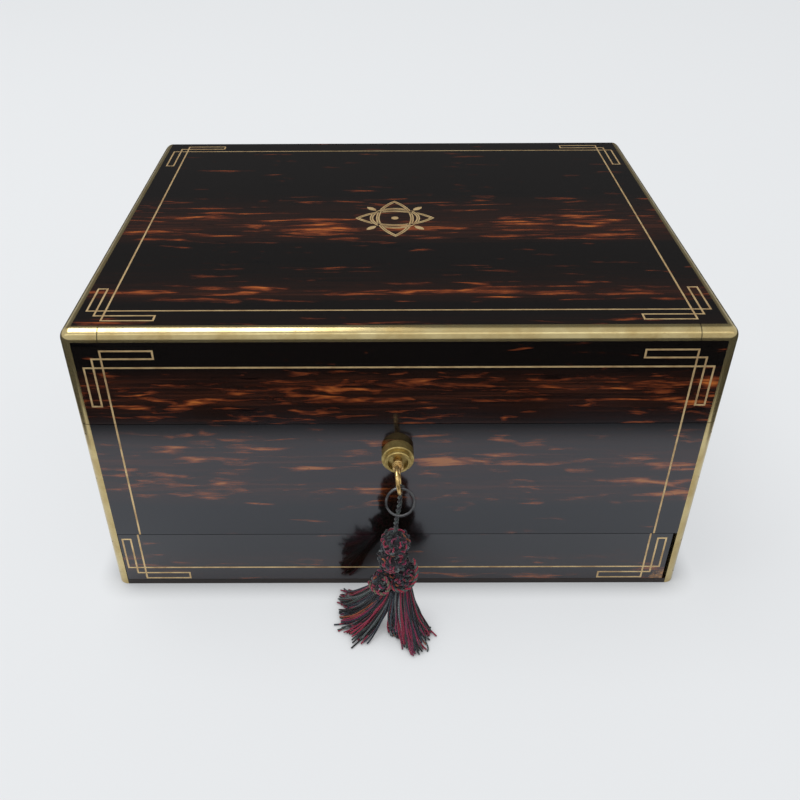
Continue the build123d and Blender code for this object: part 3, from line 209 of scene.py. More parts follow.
def tubes(
    paths: np.ndarray, radius: np.ndarray, sides: int, reference: np.ndarray, flat: float = 1.0,
) -> np.ndarray:
    """Round bars along paths, closed at both ends.

    A point is the path plus radius times (cosine of the angle times the first direction across, plus
    flat times its sine times the second). A ring of no radius at each end closes the bar.

    Args:
        paths: points, as an array of path, step and coordinate.
        radius: the radius for each path and step.
        sides: points round each bar.
        reference: one direction for each path, never along it.
        flat: the second direction's share of the radius.

    Returns:
        Points as an array of path, step, side and coordinate.
    """
    paths = np.concatenate([paths[:, :1], paths, paths[:, -1:]], 1)
    radius = np.pad(np.broadcast_to(radius, (paths.shape[0], paths.shape[1] - 2)), ((0, 0), (1, 1)))
    core = np.concatenate(
        [paths[:, 1:2] * 2 - paths[:, 2:3], paths[:, 1:-1], paths[:, -2:-1] * 2 - paths[:, -3:-2]], 1,
    )
    side, other = frames(core, reference)
    angle = np.linspace(0, TAU, sides, endpoint=False)
    round_1 = np.cos(angle)[None, None, :, None] * side[:, :, None]
    round_2 = flat * np.sin(angle)[None, None, :, None] * other[:, :, None]
    return paths[:, :, None] + radius[:, :, None, None] * (round_1 + round_2)


def turned(profile: np.ndarray, sides: int, flutes: np.ndarray, count: int, places: np.ndarray) -> np.ndarray:
    """Turned shapes with flutes.

    A point's distance from the axis is the profile's radius times one less the flute's depth times the
    squared sine of half the count times the angle.

    Args:
        profile: radius and height of each step.
        sides: points round.
        flutes: the flutes' depth at each step, as a share of the radius.
        count: how many flutes.
        places: X, Y and Z of each shape's foot.

    Returns:
        Points as an array of shape, step, side and coordinate.
    """
    angle = np.linspace(0, TAU, sides, endpoint=False)
    wave = 1 - flutes[:, None] * np.sin(count * angle / 2)[None] ** 2
    radius = profile[:, :1] * wave
    height = np.broadcast_to(profile[:, 1:], radius.shape)
    ring = np.stack([radius * np.cos(angle), radius * np.sin(angle), height], -1)
    return places[:, None, None, :] + ring[None]


class Facing(Enum):
    """Which way a pad faces: the axes of its length, breadth and thickness, and the thickness's sign."""

    UP = (0, 1, 2, 1)
    RIGHT = (1, 2, 0, 1)
    LEFT = (1, 2, 0, -1)
    BACK = (0, 2, 1, 1)
    FRONT = (0, 2, 1, -1)


def pad(
    name: str, low: tuple, high: tuple, facing: Facing, edge: float,
    relief: Callable[[np.ndarray, np.ndarray], np.ndarray] | None = None, cells: tuple = (24, 24),
) -> bpy.types.Object:
    """A stuffed pad between two corners, flat behind and full in front.

    The face stands out by the thickness times the product of two edge curves, each the sine of an
    angle that grows to a right angle over the edge's width, and a relief may sink it.

    Args:
        name: the piece's name.
        low: its lowest corner.
        high: its highest corner.
        facing: which way its face looks.
        edge: width of the rounded edge.
        relief: a function of length and breadth that gives the share of the thickness left there.
        cells: steps over the length and over the breadth, between the edges.

    Returns:
        The pad.
    """
    first, second, out, sign = facing.value
    bend = np.linspace(0, math.pi / 2, 7)
    curve = edge * (1 - np.cos(bend))

    def stations(start: float, end: float, count: int) -> tuple[np.ndarray, np.ndarray]:
        """Places along one side, close together in its edges.

        Args:
            start: where the side starts.
            end: where it ends.
            count: steps between the edges.

        Returns:
            The places, and the edge curve there.
        """
        middle = np.linspace(start + edge, end - edge, count + 1)[1:-1]
        places = np.concatenate([start + curve, middle, (end - curve)[::-1]])
        return places, np.concatenate([np.sin(bend), np.ones(len(middle)), np.sin(bend)[::-1]])

    one, rise_1 = stations(low[first], high[first], cells[0])
    two, rise_2 = stations(low[second], high[second], cells[1])
    grid_1, grid_2 = np.meshgrid(one, two, indexing="ij")
    share = rise_1[:, None] * rise_2[None]
    if relief is not None:
        share = share * relief(grid_1, grid_2)
    thick = high[out] - low[out]
    back = low[out] if sign > 0 else high[out]
    grids = np.zeros((2, *grid_1.shape, 3))
    grids[..., first], grids[..., second] = grid_1, grid_2
    grids[0, ..., out] = back + sign * thick * share
    grids[1, ..., out] = back
    return surface(name, grids, (False, False))


def joined(name: str, pieces: list[bpy.types.Object]) -> bpy.types.Object:
    """Joins pieces into the first, under a new name.

    Args:
        name: the joined piece's name.
        pieces: what is joined.

    Returns:
        The joined piece.
    """
    with bpy.context.temp_override(active_object=pieces[0], selected_editable_objects=pieces):
        bpy.ops.object.join()
    pieces[0].name = name
    return pieces[0]


def place(
    obj: bpy.types.Object, material: bpy.types.Material, body: str, slot: str, *nodes: str,
) -> bpy.types.Object:
    """Finishes a piece of the scene.

    Args:
        obj: the piece.
        material: its finish.
        body: the body it rides on.
        slot: not used.
        nodes: the CAD nodes it stands for.

    Returns:
        The piece.
    """
    obj.data.materials.append(material)
    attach(obj, body)
    if nodes:
        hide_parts(*nodes)
    return obj


# ---- finishes: wood ----
class Cut(Enum):
    """How a leaf of veneer lies: the axis of its grain, and the axis across it."""

    TOP = ("X", "Y")
    FRONT = ("X", "Z")
    SIDE = ("Y", "Z")


class Figure(Enum):
    """How much flaky figure a band of the veneer shows, as a grey level."""

    BLACK = "#000000"
    TRACE = "#484848"
    FAINT = "#505050"
    MIDDLING = "#909090"
    RICH = "#b8b8b8"
    FULL = "#d8d8d8"


@dataclass(frozen=True)
class FrenchPolishedCoromandel:
    """Coromandel, sliced, glued down and French polished: nearly black, with orange flakes, mirror bright.

    The figure's places are shares of the way from low to high, across the grain. A grain's sizes are
    millimetres along and across it, and a chip is X, Y, Z and radius of a corner that broke away.
    """

    name: str
    cut: Cut
    low: float
    high: float
    figure: tuple[tuple[float, Figure], ...]
    seed: float
    ember: tuple = ("#1e0d07", "#4c2211", "#7f3e1d", "#b7672c")
    flake: tuple = (30.0, 4.2)
    shellac: float = 0.6
    chip: tuple | None = None
    pore: tuple = (4.5, 0.75)
    cloud: tuple = (60.0, 16.0)
    streak: tuple = (55.0, 1.6)
    crack: tuple = (70.0, 9.0)
    smear: float = 45.0
    swell: float = 24.0
    splinter: float = 1.8

    def make(self) -> bpy.types.Material:
        """Lays long soft-ended flakes over a nearly black ground.

        A flake is where two noises, one coarse and one fine, pass a level that the figure lowers.
        Streaks brown the ground and warm the flakes, and hairline cracks run along the grain.

        Returns:
            The material.
        """
        material, tree = blank(self.name)
        spot = node(tree, "TexCoord").outputs["Object"]
        axes = node(tree, "SeparateXYZ", {0: spot})
        along, across = (axes.outputs[a] for a in self.cut.value)
        share = node(tree, "MapRange", {
            "Value": across, "From Min": self.low * MM, "From Max": self.high * MM,
        })
        stops = tuple((at, much.value) for at, much in self.figure)
        level = node(tree, "ValToRGB", {"Fac": share.outputs[0]}, stops=stops).outputs[0]

        def grain(size: tuple, detail: float, shift: float, warp: float = 0.0) -> bpy.types.NodeSocket:
            """A noise stretched along the grain.

            Args:
                size: its millimetres along and across the grain.
                detail: how many finer layers it has.
                shift: what sets it apart from the leaf's other noises.
                warp: how far it is bent by itself.

            Returns:
                The noise, from 0 to 1.
            """
            run = node(tree, "Math", {0: along, 1: 1 / (size[0] * MM)}, operation="MULTIPLY")
            rise = node(tree, "Math", {0: across, 1: 1 / (size[1] * MM)}, operation="MULTIPLY")
            where = node(tree, "CombineXYZ", {0: run.outputs[0], 1: rise.outputs[0], 2: self.seed + shift})
            return node(tree, "TexNoise", {
                "Vector": where.outputs[0], "Scale": 1.0, "Detail": detail, "Roughness": 0.55,
                "Distortion": warp,
            }).outputs[0]

        coarse = grain(self.flake, 2.0, 0.0, 0.5)
        fine = grain(self.pore, 2.0, 7.0)
        slow = grain(self.cloud, 1.0, 13.0)
        veil = grain(self.streak, 3.0, 21.0)
        line = grain(self.crack, 1.0, 33.0)
        both = node(tree, "Math", {0: fine, 1: 0.17, 2: coarse}, operation="MULTIPLY_ADD")
        patchy = node(tree, "Math", {0: slow, 1: 0.32, 2: both.outputs[0]}, operation="MULTIPLY_ADD")
        over = node(tree, "Math", {0: level, 1: 0.26, 2: patchy.outputs[0]}, operation="MULTIPLY_ADD")
        flaked = node(tree, "MapRange", {
            "Value": over.outputs[0], "From Min": 0.905, "From Max": 0.975,
        }, interpolation_type="SMOOTHSTEP")
        streaked = node(tree, "Math", {0: veil, 1: 0.22, 2: over.outputs[0]}, operation="MULTIPLY_ADD")
        heat = node(tree, "MapRange", {"Value": streaked.outputs[0], "From Min": 1.03, "From Max": 1.27})
        embers = tuple((n / 3, colour) for n, colour in enumerate(self.ember))
        glow = node(tree, "ValToRGB", {"Fac": heat.outputs[0]}, stops=embers)
        veiled = node(tree, "Math", {0: veil, 1: level}, operation="MULTIPLY")
        ground = node(
            tree, "ValToRGB", {"Fac": veiled.outputs[0]},
            stops=((0.08, "#100c09"), (0.31, "#24130c"), (0.5, "#452213")),
        )
        wood = node(tree, "Mix", {
            0: flaked.outputs[0], 6: ground.outputs[0], 7: glow.outputs[0],
        }, data_type="RGBA").outputs[2]
        near = node(tree, "Math", {0: line, 1: 0.5}, operation="SUBTRACT")
        near = node(tree, "Math", {0: near.outputs[0]}, operation="ABSOLUTE")
        crack = node(tree, "MapRange", {
            "Value": near.outputs[0], "From Min": 0.0008, "From Max": 0.0025, "To Min": 0.35,
            "To Max": 1.0,
        })
        wood = node(tree, "Mix", {
            0: 1.0, 6: wood, 7: crack.outputs[0],
        }, data_type="RGBA", blend_type="MULTIPLY").outputs[2]
        if self.chip is not None:
            wood = self.chipped(tree, spot, wood)
        smear = node(tree, "TexNoise", {"Vector": spot, "Scale": 1 / (self.smear * MM), "Detail": 3.0})
        gloss = node(tree, "MapRange", {
            "Value": smear.outputs[0], "From Min": 0.3, "From Max": 0.7, "To Min": 0.1, "To Max": 0.17,
        })
        swell = node(tree, "TexNoise", {"Vector": spot, "Scale": 1 / (self.swell * MM), "Detail": 1.0})
        bump = node(tree, "Bump", {"Height": swell.outputs[0], "Strength": 0.05, "Distance": 0.4 * MM})
        finish_off(tree, {
            "Base Color": wood, "Roughness": gloss.outputs[0], "IOR": 1.5, "Normal": bump.outputs[0],
            "Specular Tint": linear("#d6e2fa"), "Coat Weight": self.shellac,
            "Coat Roughness": 0.085, "Coat IOR": 1.5,
        })
        return material

    def chipped(
        self, tree: bpy.types.NodeTree, spot: bpy.types.NodeSocket, wood: bpy.types.NodeSocket,
    ) -> bpy.types.NodeSocket:
        """Bares the wood under a lost corner of veneer, nearer to the corner than a ragged radius.

        Args:
            tree: the material's node tree.
            spot: the place on the veneer.
            wood: the veneer's colour.

        Returns:
            The colour with the bare corner.
        """
        x, y, z, radius = (n * MM for n in self.chip)
        away = node(tree, "VectorMath", {0: spot, 1: (x, y, z)}, operation="DISTANCE")
        ragged = node(tree, "TexNoise", {"Vector": spot, "Scale": 1 / (self.splinter * MM), "Detail": 3.0})
        edge = node(tree, "Math", {
            0: ragged.outputs[0], 1: radius, 2: away.outputs["Value"],
        }, operation="MULTIPLY_ADD")
        bare = node(tree, "MapRange", {
            "Value": edge.outputs[0], "From Min": 1.45 * radius, "From Max": 1.55 * radius,
            "To Min": 1.0, "To Max": 0.0,
        })
        tone = node(tree, "ValToRGB", {"Fac": ragged.outputs[0]}, stops=((0.3, "#2a160c"), (0.7, "#a8763c")))
        return node(tree, "Mix", {
            0: bare.outputs[0], 6: wood, 7: tone.outputs[0],
        }, data_type="RGBA").outputs[2]


@dataclass(frozen=True)
class PlanedMahogany:
    """Mahogany, planed and oiled: red-brown with short dark pores, and a low sheen."""

    name: str
    dark: str
    light: str
    gloss: float = 0.5
    ring: tuple = (90.0, 8.0, 8.0)
    pore: tuple = (6.0, 0.3, 0.3)

    def make(self) -> bpy.types.Material:
        """Slow rings drawn out along X give the colour, and pores 0.3 mm wide darken and dent it.

        Returns:
            The material.
        """
        material, tree = blank(self.name)
        spot = node(tree, "TexCoord").outputs["Object"]
        rings = node(tree, "Mapping", {"Vector": spot, "Scale": tuple(1 / (n * MM) for n in self.ring)})
        tone = node(tree, "TexNoise", {
            "Vector": rings.outputs[0], "Scale": 1.0, "Detail": 4.0, "Distortion": 0.7,
        })
        base = node(tree, "ValToRGB", {"Fac": tone.outputs[0]}, stops=((0.3, self.dark), (0.7, self.light)))
        fine = node(tree, "Mapping", {"Vector": spot, "Scale": tuple(1 / (n * MM) for n in self.pore)})
        pores = node(tree, "TexNoise", {"Vector": fine.outputs[0], "Scale": 1.0, "Detail": 2.0})
        depth = node(tree, "MapRange", {
            "Value": pores.outputs[0], "From Min": 0.36, "From Max": 0.46, "To Min": 0.45, "To Max": 1.0,
        })
        wood = node(tree, "Mix", {
            0: 1.0, 6: base.outputs[0], 7: depth.outputs[0],
        }, data_type="RGBA", blend_type="MULTIPLY")
        bump = node(tree, "Bump", {"Height": depth.outputs[0], "Strength": 0.4, "Distance": 0.1 * MM})
        finish_off(tree, {
            "Base Color": wood.outputs[2], "Roughness": self.gloss, "IOR": 1.5, "Normal": bump.outputs[0],
        })
        return material


# ---- finishes: metal ----
@dataclass(frozen=True)
class RubbedMetal:
    """A metal worn by hands: bright where it is rubbed, browner in its dents, with fine scratches.

    Sizes are millimetres: of the worn patches, of a scratch along X, Y and Z, and of the tiny spots.
    smooth and rough are the roughness of the bright and the dull parts, dent and score the strength
    of the dents and the scratches, and gap_at the X, either side, where two lengths butt.
    """

    name: str
    bright: str
    dull: str
    patch: float = 6.0
    scratch: tuple = (9.0, 0.35, 0.35)
    smooth: float = 0.24
    rough: float = 0.42
    dent: float = 0.25
    metal: float = 1.0
    score: float = 0.25
    gap_at: float | None = None
    spots: float = 0.9

    def make(self) -> bpy.types.Material:
        """Mixes the two colours and roughnesses by a noise of the patch size, and scores the metal.

        Returns:
            The material.
        """
        material, tree = blank(self.name)
        spot = node(tree, "TexCoord").outputs["Object"]
        wear = node(tree, "TexNoise", {
            "Vector": spot, "Scale": 1 / (self.patch * MM), "Detail": 5.0, "Roughness": 0.6,
        })
        fleck = node(tree, "TexNoise", {"Vector": spot, "Scale": 1 / (self.spots * MM), "Detail": 2.0})
        spots = node(tree, "MapRange", {
            "Value": fleck.outputs[0], "From Min": 0.7, "From Max": 0.79, "To Max": 0.3,
        })
        worn = node(tree, "Math", {0: wear.outputs[0], 1: spots.outputs[0]}, operation="ADD")
        stops = ((0.38, self.bright), (0.72, self.dull))
        tone = node(tree, "ValToRGB", {"Fac": worn.outputs[0]}, stops=stops)
        colour = tone.outputs[0]
        if self.gap_at is not None:
            colour = self.gapped(tree, spot, colour)
        lines = node(tree, "Mapping", {"Vector": spot, "Scale": tuple(1 / (n * MM) for n in self.scratch)})
        scratches = node(tree, "TexNoise", {"Vector": lines.outputs[0], "Scale": 1.0, "Detail": 2.0})
        gloss = node(tree, "MapRange", {
            "Value": worn.outputs[0], "From Min": 0.35, "From Max": 0.75, "To Min": self.smooth,
            "To Max": self.rough,
        })
        fine = node(tree, "Bump", {
            "Height": scratches.outputs[0], "Strength": self.score, "Distance": 0.03 * MM,
        })
        bump = node(tree, "Bump", {
            "Height": wear.outputs[0], "Strength": self.dent, "Distance": 0.5 * MM,
            "Normal": fine.outputs[0],
        })
        finish_off(tree, {
            "Base Color": colour, "Metallic": self.metal, "Roughness": gloss.outputs[0],
            "Normal": bump.outputs[0],
        })
        return material

    def gapped(
        self, tree: bpy.types.NodeTree, spot: bpy.types.NodeSocket, colour: bpy.types.NodeSocket,
    ) -> bpy.types.NodeSocket:
        """Darkens a hairline where two lengths butt, by the distance from the joint's X, either side.

        Args:
            tree: the material's node tree.
            spot: the place on the metal.
            colour: the metal's colour.

        Returns:
            The colour with the hairline.
        """
        x = node(tree, "SeparateXYZ", {0: spot}).outputs[0]
        side = node(tree, "Math", {0: x}, operation="ABSOLUTE")
        off = node(tree, "Math", {0: side.outputs[0], 1: self.gap_at * MM}, operation="SUBTRACT")
        off = node(tree, "Math", {0: off.outputs[0]}, operation="ABSOLUTE")
        dark = node(tree, "MapRange", {
            "Value": off.outputs[0], "From Min": 0.12 * MM, "From Max": 0.3 * MM, "To Min": 0.15,
            "To Max": 1.0,
        })
        return node(tree, "Mix", {
            0: 1.0, 6: colour, 7: dark.outputs[0],
        }, data_type="RGBA", blend_type="MULTIPLY").outputs[2]


@dataclass(frozen=True)
class SilveredGlass:
    """Mercury-silvered plate glass: a bright mirror with brown foxing spots near its edge."""

    name: str
    half: tuple
    foxing: float = 4.0

    def make(self) -> bpy.types.Material:
        """Foxing is a spotty noise kept to where X or Y comes near the half sizes.

        Returns:
            The material.
        """
        material, tree = blank(self.name)
        spot = node(tree, "TexCoord").outputs["Object"]
        size = node(tree, "VectorMath", {
            0: spot, 1: (1 / (self.half[0] * MM), 1 / (self.half[1] * MM), 0.0),
        }, operation="MULTIPLY")
        size = node(tree, "VectorMath", {0: size.outputs[0]}, operation="ABSOLUTE")
        axes = node(tree, "SeparateXYZ", {0: size.outputs[0]})
        edge = node(tree, "Math", {0: axes.outputs[0], 1: axes.outputs[1]}, operation="MAXIMUM")
        age = node(tree, "TexNoise", {"Vector": spot, "Scale": 1 / (self.foxing * MM), "Detail": 3.0})
        both = node(tree, "Math", {
            0: edge.outputs[0], 1: 0.27, 2: age.outputs[0],
        }, operation="MULTIPLY_ADD")
        tone = node(tree, "ValToRGB", {"Fac": both.outputs[0]}, stops=((0.9, "#e9ecec"), (1.0, "#7d6a52")))
        gloss = node(tree, "MapRange", {
            "Value": both.outputs[0], "From Min": 0.9, "From Max": 1.0, "To Min": 0.0, "To Max": 0.4,
        })
        finish_off(tree, {"Base Color": tone.outputs[0], "Metallic": 1.0, "Roughness": gloss.outputs[0]})
        return material


@dataclass(frozen=True)
class BlownGlass:
    """Lead glass, blown and wheel cut: clear, heavy, with soft ripples."""

    name: str
    ripple: float = 8.0

    def make(self) -> bpy.types.Material:
        """Ripples 8 mm long bend the light a little.

        Returns:
            The material.
        """
        material, tree = blank(self.name)
        spot = node(tree, "TexCoord").outputs["Object"]
        ripple = node(tree, "TexNoise", {"Vector": spot, "Scale": 1 / (self.ripple * MM), "Detail": 1.0})
        haze = node(tree, "MapRange", {"Value": ripple.outputs[0], "To Min": 0.01, "To Max": 0.06})
        bump = node(tree, "Bump", {"Height": ripple.outputs[0], "Strength": 0.1, "Distance": 0.5 * MM})
        finish_off(tree, {
            "Base Color": linear("#eef4f2"), "Roughness": haze.outputs[0], "IOR": 1.54,
            "Transmission Weight": 1.0, "Normal": bump.outputs[0],
        })
        return material


# ---- finishes: cloth, leather, yarn ----
@dataclass(frozen=True)
class SilkVelvet:
    """Silk velvet, woven and cut: deep red, with a pale edge where the pile leans."""

    name: str
    deep: str
    nap: str
    patch: float = 9.0
    pile: float = 0.7

    def make(self) -> bpy.types.Material:
        """Nap in patches changes the tone, and the pile bumps it, drawn 0.7 mm coarse so that it shows.

        Returns:
            The material.
        """
        material, tree = blank(self.name)
        spot = node(tree, "TexCoord").outputs["Object"]
        brushed = node(tree, "TexNoise", {"Vector": spot, "Scale": 1 / (self.patch * MM), "Detail": 4.0})
        pile = node(tree, "TexNoise", {"Vector": spot, "Scale": 1 / (self.pile * MM), "Detail": 2.0})
        both = node(tree, "Math", {
            0: pile.outputs[0], 1: 0.4, 2: brushed.outputs[0],
        }, operation="MULTIPLY_ADD")
        tone = node(tree, "ValToRGB", {"Fac": both.outputs[0]}, stops=((0.5, self.deep), (0.95, self.nap)))
        bump = node(tree, "Bump", {"Height": pile.outputs[0], "Strength": 0.6, "Distance": 0.3 * MM})
        finish_off(tree, {
            "Base Color": tone.outputs[0], "Roughness": 0.95, "IOR": 1.45, "Normal": bump.outputs[0],
            "Sheen Weight": 0.7, "Sheen Roughness": 0.35, "Sheen Tint": linear("#d9889a"),
        })
        return material


@dataclass(frozen=True)
class TooledMorocco:
    """Morocco leather, dyed, grained and tooled: wine red pebbles with a gold line round the border.

    half and middle are the leather's half sizes and middle in X and Y, and inset is the line's
    distance from its edge.
    """

    name: str
    half: tuple
    middle: tuple
    inset: float
    pebble: float = 1.1
    cloud: float = 14.0
    line: tuple = (0.45, 0.6)

    def make(self) -> bpy.types.Material:
        """Pebbles are cells 1.1 mm wide, and the gold line lies where the nearer edge is one inset away.

        Returns:
            The material.
        """
        material, tree = blank(self.name)
        spot = node(tree, "TexCoord").outputs["Object"]
        pebbles = {"Vector": spot, "Scale": 1 / (self.pebble * MM)}
        cells = node(tree, "TexVoronoi", pebbles, feature="SMOOTH_F1")
        cloud = node(tree, "TexNoise", {"Vector": spot, "Scale": 1 / (self.cloud * MM), "Detail": 4.0})
        tone = node(tree, "ValToRGB", {"Fac": cloud.outputs[0]}, stops=((0.35, "#2c0f16"), (0.7, "#4a1a22")))
        off = node(tree, "VectorMath", {
            0: spot, 1: (self.middle[0] * MM, self.middle[1] * MM, 0.0),
        }, operation="SUBTRACT")
        off = node(tree, "VectorMath", {0: off.outputs[0]}, operation="ABSOLUTE")
        left = node(tree, "VectorMath", {
            0: (self.half[0] * MM, self.half[1] * MM, 0.0), 1: off.outputs[0],
        }, operation="SUBTRACT")
        axes = node(tree, "SeparateXYZ", {0: left.outputs[0]})
        inward = node(tree, "Math", {0: axes.outputs[0], 1: axes.outputs[1]}, operation="MINIMUM")
        away = node(tree, "Math", {0: inward.outputs[0], 1: self.inset * MM}, operation="SUBTRACT")
        away = node(tree, "Math", {0: away.outputs[0]}, operation="ABSOLUTE")
        gilt = node(tree, "MapRange", {
            "Value": away.outputs[0], "From Min": self.line[0] * MM, "From Max": self.line[1] * MM,
            "To Min": 1.0, "To Max": 0.0,
        })
        worn = node(tree, "MapRange", {"Value": cloud.outputs[0], "From Min": 0.3, "From Max": 0.45})
        gold = node(tree, "Math", {0: gilt.outputs[0], 1: worn.outputs[0]}, operation="MULTIPLY")
        colour = node(tree, "Mix", {
            0: gold.outputs[0], 6: tone.outputs[0], 7: linear("#c9a04e"),
        }, data_type="RGBA")
        gloss = node(tree, "MapRange", {"Value": gold.outputs[0], "To Min": 0.48, "To Max": 0.3})
        bump = node(tree, "Bump", {
            "Height": cells.outputs[0], "Strength": 0.35, "Distance": 0.2 * MM,
        }, invert=True)
        finish_off(tree, {
            "Base Color": colour.outputs[2], "Metallic": gold.outputs[0], "Roughness": gloss.outputs[0],
            "IOR": 1.5, "Normal": bump.outputs[0],
        })
        return material


@dataclass(frozen=True)
class SpunYarn:
    """Wool yarn, spun and dyed: matt, fuzzy, with slanting twists, each strand its own colour."""

    name: str
    fuzz: float = 0.5

    def make(self) -> bpy.types.Material:
        """Paints shade on a strand between its twists, and light on their crests, which slant as the way
        round plus the way along.

        Returns:
            The material.
        """
        material, tree = blank(self.name)
        spot = node(tree, "TexCoord").outputs["Object"]
        dye = node(tree, "Attribute", attribute_name="dye").outputs["Color"]
        slant = node(tree, "Attribute", attribute_name="slant").outputs["Fac"]
        turn = node(tree, "Math", {0: slant, 1: TAU / TWIST}, operation="MULTIPLY")
        ply = node(tree, "Math", {0: turn.outputs[0]}, operation="SINE")
        fuzz = node(tree, "TexNoise", {"Vector": spot, "Scale": 1 / (self.fuzz * MM), "Detail": 3.0})
        both = node(tree, "Math", {0: ply.outputs[0], 1: 0.22, 2: fuzz.outputs[0]}, operation="MULTIPLY_ADD")
        # Painted shade in the grooves between the twists and painted light on their crests, mixed with the
        # fuzz's random tone.
        shade = node(tree, "MapRange", {
            "Value": both.outputs[0], "From Min": 0.2, "From Max": 0.8, "To Min": 0.45, "To Max": 1.25,
        })
        colour = node(tree, "Mix", {
            0: 1.0, 6: dye, 7: shade.outputs[0],
        }, data_type="RGBA", blend_type="MULTIPLY")
        bump = node(tree, "Bump", {"Height": both.outputs[0], "Strength": 0.7, "Distance": 0.25 * MM})
        finish_off(tree, {
            "Base Color": colour.outputs[2], "Roughness": 0.9, "IOR": 1.45, "Normal": bump.outputs[0],
            "Sheen Weight": 0.35, "Sheen Roughness": 0.5,
        })
        return material


# ---- the box ----
@dataclass(frozen=True)
class Carcass:
    """The case, lid and drawer: boards, veneers, stringing and edge brasses.

    Sizes are the box's depth and height, the heights of the lid's seam and of the drawer's top, and
    the X where a front brass meets its corner. The chip is X, Y, Z and radius.
    """

    depth: float = 246.0
    height: float = 160.0
    seam: float = 109.0
    drawer: float = 37.0
    butt: float = 134.5
    chip: tuple = (145.0, -123.0, 3.0, 7.0)
    brown: tuple = ("#1f0d07", "#48230f", "#7a3e1c", "#a2622e")
    top_figure: tuple = (
        (0.03, Figure.MIDDLING), (0.1, Figure.FAINT), (0.115, Figure.MIDDLING), (0.145, Figure.FULL),
        (0.165, Figure.RICH), (0.2, Figure.MIDDLING), (0.3, Figure.FAINT), (0.36, Figure.FAINT),
        (0.39, Figure.RICH), (0.45, Figure.FULL), (0.53, Figure.RICH), (0.6, Figure.MIDDLING),
        (0.66, Figure.TRACE),
    )
    lid_figure: tuple = (
        (0.0, Figure.RICH), (0.1, Figure.RICH), (0.25, Figure.FULL), (0.5, Figure.FULL),
        (0.6, Figure.MIDDLING), (0.64, Figure.BLACK),
    )
    case_figure: tuple = (
        (0.0, Figure.FAINT), (0.1, Figure.BLACK), (0.25, Figure.BLACK), (0.33, Figure.RICH),
        (0.44, Figure.FULL), (0.55, Figure.RICH), (0.68, Figure.FULL), (0.86, Figure.RICH),
        (0.95, Figure.MIDDLING), (1.0, Figure.FAINT),
    )
    drawer_figure: tuple = (
        (0.0, Figure.RICH), (0.12, Figure.RICH), (0.35, Figure.MIDDLING), (0.5, Figure.RICH),
        (0.62, Figure.MIDDLING), (0.8, Figure.BLACK),
    )
    side_figure: tuple = (
        (0.0, Figure.FAINT), (0.2, Figure.MIDDLING), (0.45, Figure.RICH), (0.6, Figure.FAINT),
        (0.8, Figure.RICH), (1.0, Figure.FAINT),
    )

    def build(self) -> None:
        """Dresses every flat and edge of the box."""
        self.dress_boards()
        self.dress_veneers()
        self.dress_metal()

    def dress_boards(self) -> None:
        """Bare mahogany inside, and a blackened base board and drawer front."""
        bare = PlanedMahogany("oiled_mahogany", "#3a1d10", "#6a3a20").make()
        black = PlanedMahogany("blackened_mahogany", "#120b08", "#2a1a12", 0.4).make()
        dress(bare, "case_sides", "case_front_board", "case_back_board", "well_floor", "divider_frame")
        dress(bare, "lid_top_board", "lid_front_rail", "lid_back_rail", "lid_side_rails")
        dress(bare, "drawer_sides", "drawer_back", "drawer_bottom")
        dress(black, "base_board", "drawer_front")

    def dress_veneers(self) -> None:
        """One leaf for each face, with its own bands of figure."""
        wood = FrenchPolishedCoromandel
        half, seam, top, drawer = self.depth / 2, self.seam, self.height, self.drawer
        leaves = {
            "lid_top_veneer": wood(
                "coromandel_lid_top", Cut.TOP, -half, half, self.top_figure, seed=3.0, shellac=0.3,
            ),
            "lid_front_veneer": wood(
                "coromandel_lid_front", Cut.FRONT, seam, top, self.lid_figure, seed=11.0, flake=(21.0, 3.1),
            ),
            "case_front_veneer": wood(
                "coromandel_case_front", Cut.FRONT, drawer, seam, self.case_figure, seed=5.0,
                ember=self.brown, flake=(26.0, 4.4), shellac=0.8,
            ),
            "drawer_front_veneer": wood(
                "coromandel_drawer_front", Cut.FRONT, 0.0, drawer, self.drawer_figure, seed=8.0,
                ember=self.brown, shellac=1.0, chip=self.chip,
            ),
            "case_side_veneers": wood(
                "coromandel_case_sides", Cut.SIDE, 0.0, seam, self.side_figure, seed=17.0,
            ),
            "lid_side_veneers": wood(
                "coromandel_lid_sides", Cut.SIDE, seam, top, self.lid_figure, seed=19.0,
            ),
            "case_back_veneer": wood(
                "coromandel_case_back", Cut.FRONT, 0.0, seam, self.side_figure, seed=23.0,
            ),
            "lid_back_veneer": wood(
                "coromandel_lid_back", Cut.FRONT, seam, top, self.side_figure, seed=29.0,
            ),
        }
        for name, leaf in leaves.items():
            dress(leaf.make(), name)

    def dress_metal(self) -> None:
        """Brass of the edges, the inlay, the pins and the screws."""
        edge = RubbedMetal(
            "rubbed_cast_brass", "#cfbd8b", "#b59d68", patch=14.0, scratch=(14.0, 0.5, 0.5),
            smooth=0.15, rough=0.26, dent=0.012, metal=0.88, score=0.06, gap_at=self.butt,
        ).make()
        line = RubbedMetal(
            "let_in_brass_line", "#e2c490", "#ac8a60", patch=7.0, scratch=(6.0, 0.3, 0.3),
            smooth=0.36, rough=0.5, dent=0.05, metal=0.5,
        ).make()
        pins = RubbedMetal("brass_pins", "#a8905a", "#5f4c28", patch=1.5, scratch=(0.5, 0.5, 0.5)).make()
        dress(edge, "lid_edge_brasses", "lid_corner_brasses", "case_corner_brasses")
        dress(line, "lid_stringing", "case_stringing", "drawer_stringing", "lid_medallion")
        dress(pins, "case_edging_pins", "lid_edging_pins", "case_screws", "lid_screws")


